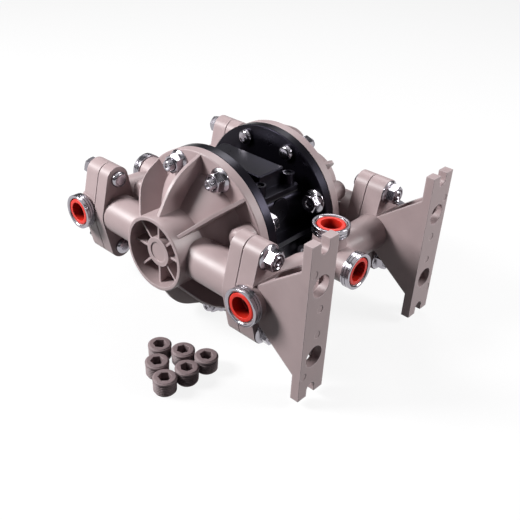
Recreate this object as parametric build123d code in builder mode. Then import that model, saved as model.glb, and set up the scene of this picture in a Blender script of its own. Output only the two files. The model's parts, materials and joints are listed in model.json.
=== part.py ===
# Air operated diaphragm pump of the half inch class, lying on its side.
# Millimetres, +Z up. The origin is the centre of the four foot holes, on the mounting face of
# the feet, which look along +X. The diaphragms move along Y. What stands at -Y is the front,
# and each rear piece is the mirror image of the front one about the XZ plane.
# Places along the pump are given from the crossing of its axes, pump_x from the feet.
import os
from math import cos, radians, sin, sqrt

from build123d import *

os.makedirs("parts", exist_ok=True)

# Clearances
running_gap = 0.05              # radial, rod or spool in its bore
fit_gap = 0.1                   # piece laid or pressed into its recess
bolt_gap = 0.3                  # radial, bolt in its hole
loose_gap = 0.3                 # pieces that only pass each other
seat_gap = 0.04                 # ball to the cone of its seat
washer_gap = 1.3                # inner washer to the chamber floor at the end of a stroke
root_overlap = 1.0              # how far a rib or post is sunk into the wall that carries it
same_place = 0.01               # for picking edges by their place

# Centre body and the air covers, its flanges
foot_height = 154.0             # diaphragm axis to the mounting face of the feet
flange_radius = 75.5
flange_gap = 65.0               # between the inner faces of the two flanges
flange_thickness = 9.8
flange_edge = 0.8               # chamfer round the flanges
barrel_width = 94.0
barrel_top = 34.0
barrel_bottom = 47.0
barrel_corner = 7.0
ledge_width = 118.0             # fins on both sides of the barrel, tip to tip
ledge_top = 1.5                 # below the diaphragm axis
ledge_thickness = 5.0
exhaust_offset = 20.0
exhaust_boss_radius = 13.0
exhaust_bore_radius = 8.5
air_inlet_offset = 20.0
air_inlet_boss_radius = 10.5
air_inlet_bore_radius = 6.0
air_boss_length = 14.0
air_passage_step = 2.0          # radial, from the bore of a fitting to the passage behind it
air_passage_depth = 5.0

# Diaphragms and shaft
shaft_radius = 8.0
stroke = 8.0                    # each way from the middle
washer_radius = 30.0
inner_washer_thickness = 5.0
outer_washer_thickness = 6.0
diaphragm_thickness = 3.0
diaphragm_wave = 4.0            # height of the convolution
clamp_inset = 20.6              # from the edge of the flange to the inside of the bead groove
body_clamp_land = 5.0           # flat ring inside the bead groove, on the centre body
cap_clamp_land = 3.0            # the same on the fluid cap
wave_margin = 2.0               # from the washer to the foot of the convolution
bead_width = 3.8
bead_depth = 2.6                # groove in each of the two flanges
clamp_screw_radius = 4.0
clamp_screw_head_radius = 6.5
clamp_screw_head = 5.0
clamp_screw_depth = 16.0
air_chamber_radius = 32.0
air_chamber_step = 3.0          # radial, up the side of the air chamber
air_chamber_shoulder = 4.0      # of that step, past the inner face of the flange
bushing_radius = 10.0
bushing_length = 12.0
shaft_seal_radius = 12.0
shaft_seal_length = 4.0

# Air valve
spool_z = 21.0
spool_radius = 7.0
spool_length = 60.0
spool_travel = 4.0
spool_end_room = 8.0            # air space past the travel, at each end
spool_neck_radius = 4.5
spool_neck_length = 18.0
spool_neck_spacing = 27.8
sleeve_wall = 2.0
end_cap_radius = 12.0
port_hole_radius = 2.6
port_hole_pitch = 18.0
pilot_z = -22.0
pilot_radius = 3.0
pilot_travel = 3.0
pilot_seal_radius = 6.0
pilot_seal_length = 3.0
gasket_thickness = 1.0
cover_depth = 49.0
cover_flange = 5.0
cover_corner = 3.0
block_width = 71.0
block_depth = 31.4
block_height = 15.0
block_edge = 1.0
cover_wall = 5.0
screw_spacing_x = 78.0
screw_spacing_y = 37.0
screw_boss_radius = 5.35
screw_boss_height = 10.0
cover_screw_radius = 2.0
cover_screw_head_radius = 3.5
cover_screw_head = 4.0
cover_screw_sink = 6.0
cover_screw_grip = 22.0

# Fluid caps
rim_thickness = 9.0
dome_foot_inset = 17.5          # from the edge of the rim
dome_middle_radius = 48.0
dome_middle_y = 63.5
dome_top_radius = 35.5
dome_top_y = 73.5
dome_wall = 5.0
chamber_top_y = 64.5
chamber_top_radius = 26.0
boss_radius = 33.3
boss_wall = 3.3
boss_reach = 104.0
boss_round = 0.8                # round of the edge of the boss
rim_round = 1.0                 # round of the front edge of the rim
boss_floor_y = 71.0
boss_skirt = 2.0                # straight foot of the boss, past the top of the dome
hub_radius = 13.2
hub_reach = 98.9
hub_dish_radius = 9.0
hub_dish_depth = 0.8
spoke_count = 8
spoke_thickness = 2.0
spoke_reach = 97.5
rib_angles = (45, 90, 135, 225, 270, 315)
rib_thickness = 3.0
rib_foot_inset = 1.2            # from the edge of the rim
rib_shoulder_inset = 12.5
rib_shoulder_y = 79.6
rib_shoulder_bend = 50.0
rib_top_y = 98.5
tube_radius = 18.2
tube_wall = 4.2
valve_y = 79.6                  # axis of the tubes and of the check valves
neck_width = 27.0
neck_reach = 64.0
passage_width = 18.0
passage_inner_x = 36.0
passage_outer_x = 52.0
bolt_boss_radius = 9.0
bolt_boss_height = 18.2
bolt_boss_round = 5.0
bolt_boss_depth = 14.7          # of the screw hole, past the rim's face

# Oval flanges of the check valves
oval_middle_radius = 19.0
oval_ear_radius = 11.4
oval_bolt_spacing = 68.6
cap_oval_thickness = 12.9
manifold_oval_thickness = 16.5
seam_x = 88.4                   # from the diaphragm axis
seam_groove_width = 1.0         # round the outline, half of it in each flange
seam_groove_depth = 0.8

# Check valves
ball_radius = 9.5
ball_lift = 6.0
seat_radius = 13.5
seat_length = 6.4
seat_mouth_radius = 9.5
seat_throat_radius = 6.0
seat_ledge = 1.2                # radial, the step that the seat rests on
seal_width = 2.8
seal_thickness = 2.1
cage_radius = 10.0
cage_rib = 3.0
cage_stop_radius = 5.0
outlet_cage_radius = 12.5
stop_post_radius = 3.0

# Manifolds
bar_offset = 102.5              # from the diaphragm axis
bar_middle_radius = 13.0
bar_middle_length = 36.0
bar_swell_radius = 15.5
bar_swell_y = 32.0
elbow_radius = 16.2
elbow_start_y = 62.0
elbow_end_y = 90.0
bar_bore_radius = 9.0
branch_bore_radius = 8.5        # from the bar to its middle ports
port_boss_radius = 14.5
port_bore_radius = 10.0
port_bore_depth = 13.0
port_mouth_radius = 12.8
end_port_reach = 106.7          # ring face from the middle plane
side_port_reach = 135.5         # ring face from the diaphragm axis, along X
upright_port_reach = 32.7       # ring face of the port that looks up or down
ring_lip = 1.0
ring_lip_radius = 13.0
ring_radius = 16.0
ring_length = 8.0
ring_gap = 0.1

# Closure caps of the ports
cap_rim_radius = 12.4
cap_rim_thickness = 2.5
cap_wall = 0.9
cap_length = 12.5
cap_floor = 1.5
cap_sink = 0.3                  # below the face of the port ring
cap_taper = 1.2                 # degrees

# Feet
foot_inner_y = 63.3
foot_width = 29.5
foot_strip_thickness = 7.7
foot_strip_height = 138.4
foot_wedge_start = 100.0
foot_wedge_root = 11.2          # half height of the wedge at its start
foot_wedge_tip = 46.3           # half height of the wedge at the strip
foot_web = 12.0
foot_wall = 5.0
pocket_front_x = 119.0
pocket_rear_x = 107.0
pocket_corner = 3.0
foot_hole_radius = 9.2
foot_hole_spacing_y = 156.4
foot_hole_spacing_z = 64.0
foot_slot_width = 9.5
foot_slot_depth = 10.7
ejector_radius = 3.2            # shallow round marks in the mounting face
ejector_depth = 0.3
ejector_marks = ((87.1, 44.7), (76.6, 10.9), (76.8, -12.3), (88.6, -46.7))

# M10 fasteners
bolt_radius = 5.0
bolt_flats = 15.0
bolt_circle_inset = 10.9        # from the edge of the flange
bolt_head = 7.0
bolt_head_flange_radius = 10.8
bolt_head_flange = 2.2
bolt_head_recess = 3.2
bolt_head_recess_depth = 1.0
round_head_radius = 7.3         # of the through bolts and the manifold bolts
round_head = 5.0
round_head_bend = 3.6
nut_height = 7.3
nut_flange = 2.5
cap_bolt_end = 5.0              # how far a through bolt looks out of its nut
manifold_bolt_end = 0.5         # the same on the manifolds
tapped_engagement = 11.0        # of the short cap bolts, past the rim's face
nut_seat_radius = 11.3

# Loose pipe plugs, half inch taper thread
plug_radius = 9.9
plug_height = 14.0
plug_taper = 1 / 32             # each side, so 1:16 on the diameter
plug_hex_flats = 8.0
plug_hex_depth = 8.0
plug_edge = 1.0
plug_places = (
    (33.5, -127.7),
    (52.2, -118.6),
    (71.0, -110.2),
    (48.4, -143.3),
    (70.7, -131.4),
    (67.2, -151.6),
)
plug_turns = (12, 40, 3, 25, 52, 18)

# Derived places
pump_x = -foot_height
flange_inner_y = flange_gap / 2
joint_y = flange_inner_y + flange_thickness
rim_y = joint_y + rim_thickness
clamp_radius = flange_radius - clamp_inset
bead_radius = clamp_radius + bead_width
bolt_circle_radius = flange_radius - bolt_circle_inset
dome_foot_radius = flange_radius - dome_foot_inset
rib_foot_radius = flange_radius - rib_foot_inset
rib_shoulder_radius = flange_radius - rib_shoulder_inset
land_gap = diaphragm_thickness / 2 + fit_gap
tube_bore_radius = tube_radius - tube_wall
cap_oval_x = seam_x - cap_oval_thickness
manifold_oval_x = seam_x + manifold_oval_thickness
strip_x = foot_height - foot_strip_thickness
ball_stand = (ball_radius + seat_gap) * sqrt(2) - seat_mouth_radius
ball_reach = ball_stand + ball_lift + ball_radius + loose_gap
sleeve_radius = spool_radius + sleeve_wall
sleeve_length = spool_length + 2 * (spool_travel + spool_end_room)
sleeve_bore_radius = spool_radius + running_gap
base_z = barrel_top + gasket_thickness
block_z = base_z + cover_flange
hex_radius = bolt_flats / sqrt(3)
hole_radius = bolt_radius + bolt_gap
floor_z = -flange_radius
shaft_half = joint_y - diaphragm_thickness / 2 - inner_washer_thickness
air_chamber_floor = shaft_half - stroke - washer_gap
pilot_reach = washer_gap + pilot_travel - fit_gap
boss_bolt_angles = (22.5, 157.5, 202.5, 337.5)
through_bolt_angles = (67.5, 112.5, 247.5, 292.5)
port_screw_holes = [(x * port_hole_pitch, 0) for x in (-1, 0, 1)]

stroke_axis = Axis((pump_x, 0, 0), (0, -1, 0))
stroke_section = Plane(origin=(pump_x, 0, 0), x_dir=(1, 0, 0), z_dir=(0, 0, -1))


def front_plane(y):
    """Plane at y in front of the middle, looking out to the front, centred on the shaft."""
    return Plane(origin=(pump_x, -y, 0), x_dir=(1, 0, 0), z_dir=(0, -1, 0))


def flow_plane(x, y=0.0):
    """Plane across the flow, x from the diaphragm axis and y from the middle, looking to +X."""
    return Plane(origin=(pump_x + x, y, 0), x_dir=(0, 1, 0), z_dir=(1, 0, 0))


def level_plane(z, x=0.0, y=0.0):
    """Level plane at height z, centred x from the diaphragm axis and y from the middle."""
    return Plane(origin=(pump_x + x, y, z), x_dir=(1, 0, 0), z_dir=(0, 0, 1))


def rib_plane(angle):
    """Plane through the shaft at an angle: its X is the radius, its Y runs out to the front."""
    across = (cos(radians(angle)), 0, sin(radians(angle)))
    return Plane(origin=(pump_x, 0, 0), x_dir=across, z_dir=(across[2], 0, -across[0]))


def on_circle(angles):
    """Places of bolts on the bolt circle, as the front plane sees them."""
    return [(bolt_circle_radius * cos(radians(a)), bolt_circle_radius * sin(radians(a)))
            for a in angles]


def at_front(edge, radius, y):
    """Tells whether a circle has this radius and stands at y in front of the middle."""
    return abs(edge.radius - radius) < same_place and abs(edge.center().Y + y) < same_place


# Ports: each plane lies on the outer face of its steel ring and looks out of the port
inlet_x = pump_x + bar_offset
outlet_x = pump_x - bar_offset
side_reach = side_port_reach - bar_offset
inlet_ports = {
    "inlet_front": Plane(origin=(inlet_x, -end_port_reach, 0), x_dir=(1, 0, 0), z_dir=(0, -1, 0)),
    "inlet_rear": Plane(origin=(inlet_x, end_port_reach, 0), x_dir=(1, 0, 0), z_dir=(0, 1, 0)),
    "inlet_side": Plane(origin=(inlet_x + side_reach, 0, 0), x_dir=(0, 1, 0), z_dir=(1, 0, 0)),
    "inlet_top": Plane(origin=(inlet_x, 0, upright_port_reach), x_dir=(1, 0, 0), z_dir=(0, 0, 1)),
}
outlet_ports = {
    "outlet_front": Plane(origin=(outlet_x, -end_port_reach, 0), x_dir=(1, 0, 0), z_dir=(0, -1, 0)),
    "outlet_rear": Plane(origin=(outlet_x, end_port_reach, 0), x_dir=(1, 0, 0), z_dir=(0, 1, 0)),
    "outlet_side": Plane(origin=(outlet_x - side_reach, 0, 0), x_dir=(0, 1, 0), z_dir=(-1, 0, 0)),
    "outlet_bottom": Plane(origin=(outlet_x, 0, -upright_port_reach), x_dir=(1, 0, 0),
                           z_dir=(0, 0, -1)),
}
ports = {**inlet_ports, **outlet_ports}
inlet_seats = [flow_plane(seam_x, side * valve_y) for side in (-1, 1)]
outlet_seats = [flow_plane(-seam_x, side * valve_y) for side in (-1, 1)]

# Outline of the oval flanges: a round middle with an ear above and below
oval_bolts = [(0, oval_bolt_spacing / 2), (0, -oval_bolt_spacing / 2)]
with BuildSketch(Plane.XY) as oval:
    Circle(oval_middle_radius)
    with Locations(oval_bolts):
        Circle(oval_ear_radius)
    make_hull()

# Groove round the seam of two oval flanges
with BuildSketch(Plane.XY) as seam_land:
    Circle(oval_middle_radius - seam_groove_depth)
    with Locations(oval_bolts):
        Circle(oval_ear_radius - seam_groove_depth)
    make_hull()
with BuildSketch(Plane.XY) as seam_groove:
    add(oval.sketch)
    add(seam_land.sketch, mode=Mode.SUBTRACT)


# Section of an air chamber: from its floor in the centre body out through the air cover
with BuildSketch(stroke_section) as air_chamber:
    with BuildLine():
        Polyline(
            (0, air_chamber_floor),
            (air_chamber_radius, air_chamber_floor),
            (air_chamber_radius, flange_inner_y),
            (air_chamber_radius + air_chamber_step, flange_inner_y + air_chamber_shoulder),
            (clamp_radius - body_clamp_land, joint_y - land_gap),
            (clamp_radius, joint_y - land_gap),
            (clamp_radius, joint_y - bead_depth),
            (bead_radius, joint_y - bead_depth),
            (bead_radius, joint_y),
            (0, joint_y),
            close=True,
        )
    make_face()

# Air cover: the round black flange between the centre body and the fluid cap
with BuildPart() as air_cover_front:
    with BuildSketch(front_plane(flange_inner_y)):
        Circle(flange_radius)
    extrude(amount=flange_thickness)
    chamfer(air_cover_front.edges().filter_by(GeomType.CIRCLE), flange_edge)
    revolve(air_chamber.sketch, axis=stroke_axis, mode=Mode.SUBTRACT)
    with BuildSketch(front_plane(flange_inner_y)):
        with Locations(on_circle(boss_bolt_angles + through_bolt_angles)):
            Circle(hole_radius)
    extrude(amount=flange_thickness, mode=Mode.SUBTRACT)


# Centre body: the barrel between the two air covers, with an air chamber sunk in each end
with BuildPart() as centre_body:
    with BuildSketch(front_plane(flange_inner_y)):
        with Locations((0, (barrel_top - barrel_bottom) / 2)):
            RectangleRounded(barrel_width, barrel_top + barrel_bottom, barrel_corner)
        with Locations((0, -ledge_top - ledge_thickness / 2)):
            Rectangle(ledge_width, ledge_thickness)
    extrude(amount=-flange_inner_y)
    revolve(air_chamber.sketch, axis=stroke_axis, mode=Mode.SUBTRACT)
    mirror(about=Plane.XZ)
    # Shaft bore, stepped for a bushing and a seal at each end
    with BuildSketch(front_plane(0)):
        Circle(shaft_radius + bolt_gap)
    extrude(amount=air_chamber_floor, both=True, mode=Mode.SUBTRACT)
    for side in (-1, 1):
        with BuildSketch(front_plane(side * air_chamber_floor)):
            Circle(shaft_seal_radius)
        extrude(amount=-side * shaft_seal_length, mode=Mode.SUBTRACT)
        with BuildSketch(front_plane(side * (air_chamber_floor - shaft_seal_length))):
            Circle(bushing_radius)
        extrude(amount=-side * bushing_length, mode=Mode.SUBTRACT)
        with BuildSketch(front_plane(side * air_chamber_floor)):
            with Locations((0, pilot_z)):
                Circle(pilot_seal_radius)
        extrude(amount=-side * pilot_seal_length, mode=Mode.SUBTRACT)
    with BuildSketch(front_plane(0)):
        with Locations((0, pilot_z)):
            Circle(pilot_radius + running_gap)
    extrude(amount=air_chamber_floor, both=True, mode=Mode.SUBTRACT)
    # Bore of the air valve, with a wider mouth at each end for its cap
    with BuildSketch(flow_plane(0)):
        with Locations((0, spool_z)):
            Circle(sleeve_radius)
    extrude(amount=barrel_width / 2, both=True, mode=Mode.SUBTRACT)
    for end in (-1, 1):
        with BuildSketch(flow_plane(end * sleeve_length / 2)):
            with Locations((0, spool_z)):
                Circle(end_cap_radius)
        extrude(amount=end * (barrel_width - sleeve_length) / 2, mode=Mode.SUBTRACT)
    with BuildSketch(level_plane(spool_z)):
        with Locations(port_screw_holes):
            Circle(port_hole_radius)
    extrude(amount=barrel_top - spool_z, mode=Mode.SUBTRACT)
    with BuildSketch(level_plane(barrel_top)):
        with GridLocations(screw_spacing_x, screw_spacing_y, 2, 2):
            Circle(cover_screw_radius + running_gap)
    extrude(amount=-cover_screw_grip, mode=Mode.SUBTRACT)
    # Mouths of the air passages behind the two air fittings
    with BuildSketch(level_plane(-barrel_bottom)):
        with Locations((exhaust_offset, 0)):
            Circle(exhaust_bore_radius - air_passage_step)
        with Locations((-air_inlet_offset, 0)):
            Circle(air_inlet_bore_radius - air_passage_step)
    extrude(amount=air_passage_depth, mode=Mode.SUBTRACT)
centre_body.part.label = "centre_body"
export_step(centre_body.part, "parts/centre_body.step")


# Exhaust and air inlet fittings on the underside of the centre body
with BuildPart() as exhaust_fitting:
    with BuildSketch(level_plane(-barrel_bottom, exhaust_offset)):
        Circle(exhaust_boss_radius)
        Circle(exhaust_bore_radius, mode=Mode.SUBTRACT)
    extrude(amount=-air_boss_length)
exhaust_fitting.part.label = "exhaust_fitting"
export_step(exhaust_fitting.part, "parts/exhaust_fitting.step")

with BuildPart() as air_inlet_fitting:
    with BuildSketch(level_plane(-barrel_bottom, -air_inlet_offset)):
        Circle(air_inlet_boss_radius)
        Circle(air_inlet_bore_radius, mode=Mode.SUBTRACT)
    extrude(amount=-air_boss_length)
air_inlet_fitting.part.label = "air_inlet_fitting"
export_step(air_inlet_fitting.part, "parts/air_inlet_fitting.step")


# Gasket and cover of the air valve
with BuildPart() as valve_gasket:
    with BuildSketch(level_plane(barrel_top)):
        RectangleRounded(barrel_width, cover_depth, cover_corner)
        with GridLocations(screw_spacing_x, screw_spacing_y, 2, 2):
            Circle(cover_screw_radius + bolt_gap, mode=Mode.SUBTRACT)
        with Locations(port_screw_holes):
            Circle(port_hole_radius, mode=Mode.SUBTRACT)
    extrude(amount=gasket_thickness)
valve_gasket.part.label = "valve_gasket"
export_step(valve_gasket.part, "parts/valve_gasket.step")

with BuildPart() as air_valve_cover:
    with BuildSketch(level_plane(base_z)):
        RectangleRounded(barrel_width, cover_depth, cover_corner)
    extrude(amount=cover_flange)
    with BuildSketch(level_plane(block_z)):
        with GridLocations(screw_spacing_x, screw_spacing_y, 2, 2):
            Circle(screw_boss_radius)
    extrude(amount=screw_boss_height)
    with BuildSketch(level_plane(block_z)):
        RectangleRounded(block_width, block_depth, block_edge)
    extrude(amount=block_height)
    chamfer(air_valve_cover.faces().sort_by(Axis.Z)[-1].edges(), block_edge)
    with BuildSketch(level_plane(base_z)):
        Rectangle(block_width - 2 * cover_wall, block_depth - 2 * cover_wall)
    extrude(amount=cover_flange + block_height - cover_wall, mode=Mode.SUBTRACT)
    with BuildSketch(level_plane(block_z + screw_boss_height)):
        with GridLocations(screw_spacing_x, screw_spacing_y, 2, 2):
            Circle(cover_screw_head_radius + bolt_gap)
    extrude(amount=-cover_screw_sink, mode=Mode.SUBTRACT)
    with BuildSketch(level_plane(base_z)):
        with GridLocations(screw_spacing_x, screw_spacing_y, 2, 2):
            Circle(cover_screw_radius + bolt_gap)
    extrude(amount=cover_flange + screw_boss_height, mode=Mode.SUBTRACT)
air_valve_cover.part.label = "air_valve_cover"
export_step(air_valve_cover.part, "parts/air_valve_cover.step")

cover_screw_seat = block_z + screw_boss_height - cover_screw_sink
with BuildPart() as valve_cover_screws:
    with BuildSketch(level_plane(cover_screw_seat)):
        with GridLocations(screw_spacing_x, screw_spacing_y, 2, 2):
            Circle(cover_screw_head_radius)
    extrude(amount=cover_screw_head)
    with BuildSketch(level_plane(cover_screw_seat + cover_screw_head)):
        with GridLocations(screw_spacing_x, screw_spacing_y, 2, 2):
            RegularPolygon(cover_screw_radius, 6)
    extrude(amount=-cover_screw_head / 2, mode=Mode.SUBTRACT)
    with BuildSketch(level_plane(cover_screw_seat)):
        with GridLocations(screw_spacing_x, screw_spacing_y, 2, 2):
            Circle(cover_screw_radius)
    extrude(amount=-cover_screw_grip)
valve_cover_screws.part.label = "valve_cover_screws"
export_step(valve_cover_screws.part, "parts/valve_cover_screws.step")


# Sleeve, end caps and spool of the air valve
with BuildPart() as spool_sleeve:
    with BuildSketch(flow_plane(0)):
        with Locations((0, spool_z)):
            Circle(sleeve_radius - running_gap)
            Circle(sleeve_bore_radius, mode=Mode.SUBTRACT)
    extrude(amount=sleeve_length / 2, both=True)
    with BuildSketch(level_plane(spool_z)):
        with Locations(port_screw_holes):
            Circle(port_hole_radius)
    extrude(amount=sleeve_radius, mode=Mode.SUBTRACT)
spool_sleeve.part.label = "spool_sleeve"
export_step(spool_sleeve.part, "parts/spool_sleeve.step")

with BuildPart() as spool_end_caps:
    for end in (-1, 1):
        with BuildSketch(flow_plane(end * sleeve_length / 2)):
            with Locations((0, spool_z)):
                Circle(end_cap_radius - fit_gap)
        extrude(amount=end * (barrel_width - sleeve_length) / 2)
spool_end_caps.part.label = "spool_end_caps"
export_step(spool_end_caps.part, "parts/spool_end_caps.step")

with BuildPart() as valve_spool:
    with BuildSketch(flow_plane(0)):
        with Locations((0, spool_z)):
            Circle(spool_radius)
    extrude(amount=spool_length / 2, both=True)
    for side in (-1, 1):
        with BuildSketch(flow_plane(side * spool_neck_spacing / 2)):
            with Locations((0, spool_z)):
                Circle(spool_radius)
                Circle(spool_neck_radius, mode=Mode.SUBTRACT)
        extrude(amount=spool_neck_length / 2, both=True, mode=Mode.SUBTRACT)
valve_spool.part.label = "valve_spool"
export_step(valve_spool.part, "parts/valve_spool.step")


# Shaft with its bushings and seals, and the pilot rod beside it
with BuildPart() as shaft_bushings:
    for side in (-1, 1):
        with BuildSketch(front_plane(side * (air_chamber_floor - shaft_seal_length))):
            Circle(bushing_radius - running_gap)
            Circle(shaft_radius + running_gap, mode=Mode.SUBTRACT)
        extrude(amount=-side * bushing_length)
shaft_bushings.part.label = "shaft_bushings"
export_step(shaft_bushings.part, "parts/shaft_bushings.step")

with BuildPart() as shaft_seals:
    for side in (-1, 1):
        with BuildSketch(front_plane(side * air_chamber_floor)):
            Circle(shaft_seal_radius - running_gap)
            Circle(shaft_radius + running_gap, mode=Mode.SUBTRACT)
        extrude(amount=-side * shaft_seal_length)
shaft_seals.part.label = "shaft_seals"
export_step(shaft_seals.part, "parts/shaft_seals.step")

with BuildPart() as pilot_seals:
    for side in (-1, 1):
        with BuildSketch(front_plane(side * air_chamber_floor)):
            with Locations((0, pilot_z)):
                Circle(pilot_seal_radius - running_gap)
                Circle(pilot_radius + running_gap, mode=Mode.SUBTRACT)
        extrude(amount=-side * pilot_seal_length)
pilot_seals.part.label = "pilot_seals"
export_step(pilot_seals.part, "parts/pilot_seals.step")

with BuildPart() as pilot_rod:
    with BuildSketch(front_plane(0)):
        with Locations((0, pilot_z)):
            Circle(pilot_radius)
    extrude(amount=air_chamber_floor + pilot_reach, both=True)
pilot_rod.part.label = "pilot_rod"
export_step(pilot_rod.part, "parts/pilot_rod.step")

with BuildPart() as shaft:
    with BuildSketch(front_plane(0)):
        Circle(shaft_radius)
    extrude(amount=shaft_half, both=True)
    for side in (-1, 1):
        with BuildSketch(front_plane(side * shaft_half)):
            Circle(clamp_screw_radius + running_gap)
        extrude(amount=-side * clamp_screw_depth, mode=Mode.SUBTRACT)
shaft.part.label = "shaft"
export_step(shaft.part, "parts/shaft.step")


# Diaphragm, the washers that clamp it to the shaft, and their screws
with BuildPart() as diaphragm_front:
    with BuildSketch(stroke_section):
        near = joint_y - diaphragm_thickness / 2
        far = joint_y + diaphragm_thickness / 2
        wave_start = washer_radius + wave_margin
        wave_end = clamp_radius - cap_clamp_land
        wave_middle = (wave_start + wave_end) / 2
        bead_half = bead_depth - fit_gap
        with BuildLine():
            Line((clamp_screw_radius + bolt_gap, near), (wave_start, near))
            ThreePointArc((wave_start, near), (wave_middle, near + diaphragm_wave), (wave_end, near))
            Polyline(
                (wave_end, near),
                (clamp_radius + fit_gap, near),
                (clamp_radius + fit_gap, joint_y - bead_half),
                (bead_radius - fit_gap, joint_y - bead_half),
                (bead_radius - fit_gap, joint_y + bead_half),
                (clamp_radius + fit_gap, joint_y + bead_half),
                (clamp_radius + fit_gap, far),
                (wave_end, far),
            )
            ThreePointArc((wave_end, far), (wave_middle, far + diaphragm_wave), (wave_start, far))
            Polyline(
                (wave_start, far),
                (clamp_screw_radius + bolt_gap, far),
                (clamp_screw_radius + bolt_gap, near),
            )
        make_face()
    revolve(axis=stroke_axis)

with BuildPart() as inner_washer_front:
    with BuildSketch(front_plane(shaft_half)):
        Circle(washer_radius)
        Circle(clamp_screw_radius + bolt_gap, mode=Mode.SUBTRACT)
    extrude(amount=inner_washer_thickness)

outer_washer_y = joint_y + diaphragm_thickness / 2
with BuildPart() as outer_washer_front:
    with BuildSketch(front_plane(outer_washer_y)):
        Circle(washer_radius)
    extrude(amount=outer_washer_thickness)
    chamfer(outer_washer_front.faces().sort_by(Axis.Y)[0].edges(), outer_washer_thickness / 2)
    with BuildSketch(front_plane(outer_washer_y)):
        Circle(clamp_screw_radius + bolt_gap)
    extrude(amount=outer_washer_thickness, mode=Mode.SUBTRACT)

clamp_head_y = outer_washer_y + outer_washer_thickness
with BuildPart() as diaphragm_screws:
    for side in (-1, 1):
        with BuildSketch(front_plane(side * clamp_head_y)):
            Circle(clamp_screw_head_radius)
        extrude(amount=side * clamp_screw_head)
        with BuildSketch(front_plane(side * clamp_head_y)):
            Circle(clamp_screw_radius)
        extrude(amount=-side * (clamp_head_y - shaft_half + clamp_screw_depth - loose_gap))
diaphragm_screws.part.label = "diaphragm_screws"
export_step(diaphragm_screws.part, "parts/diaphragm_screws.step")


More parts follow.
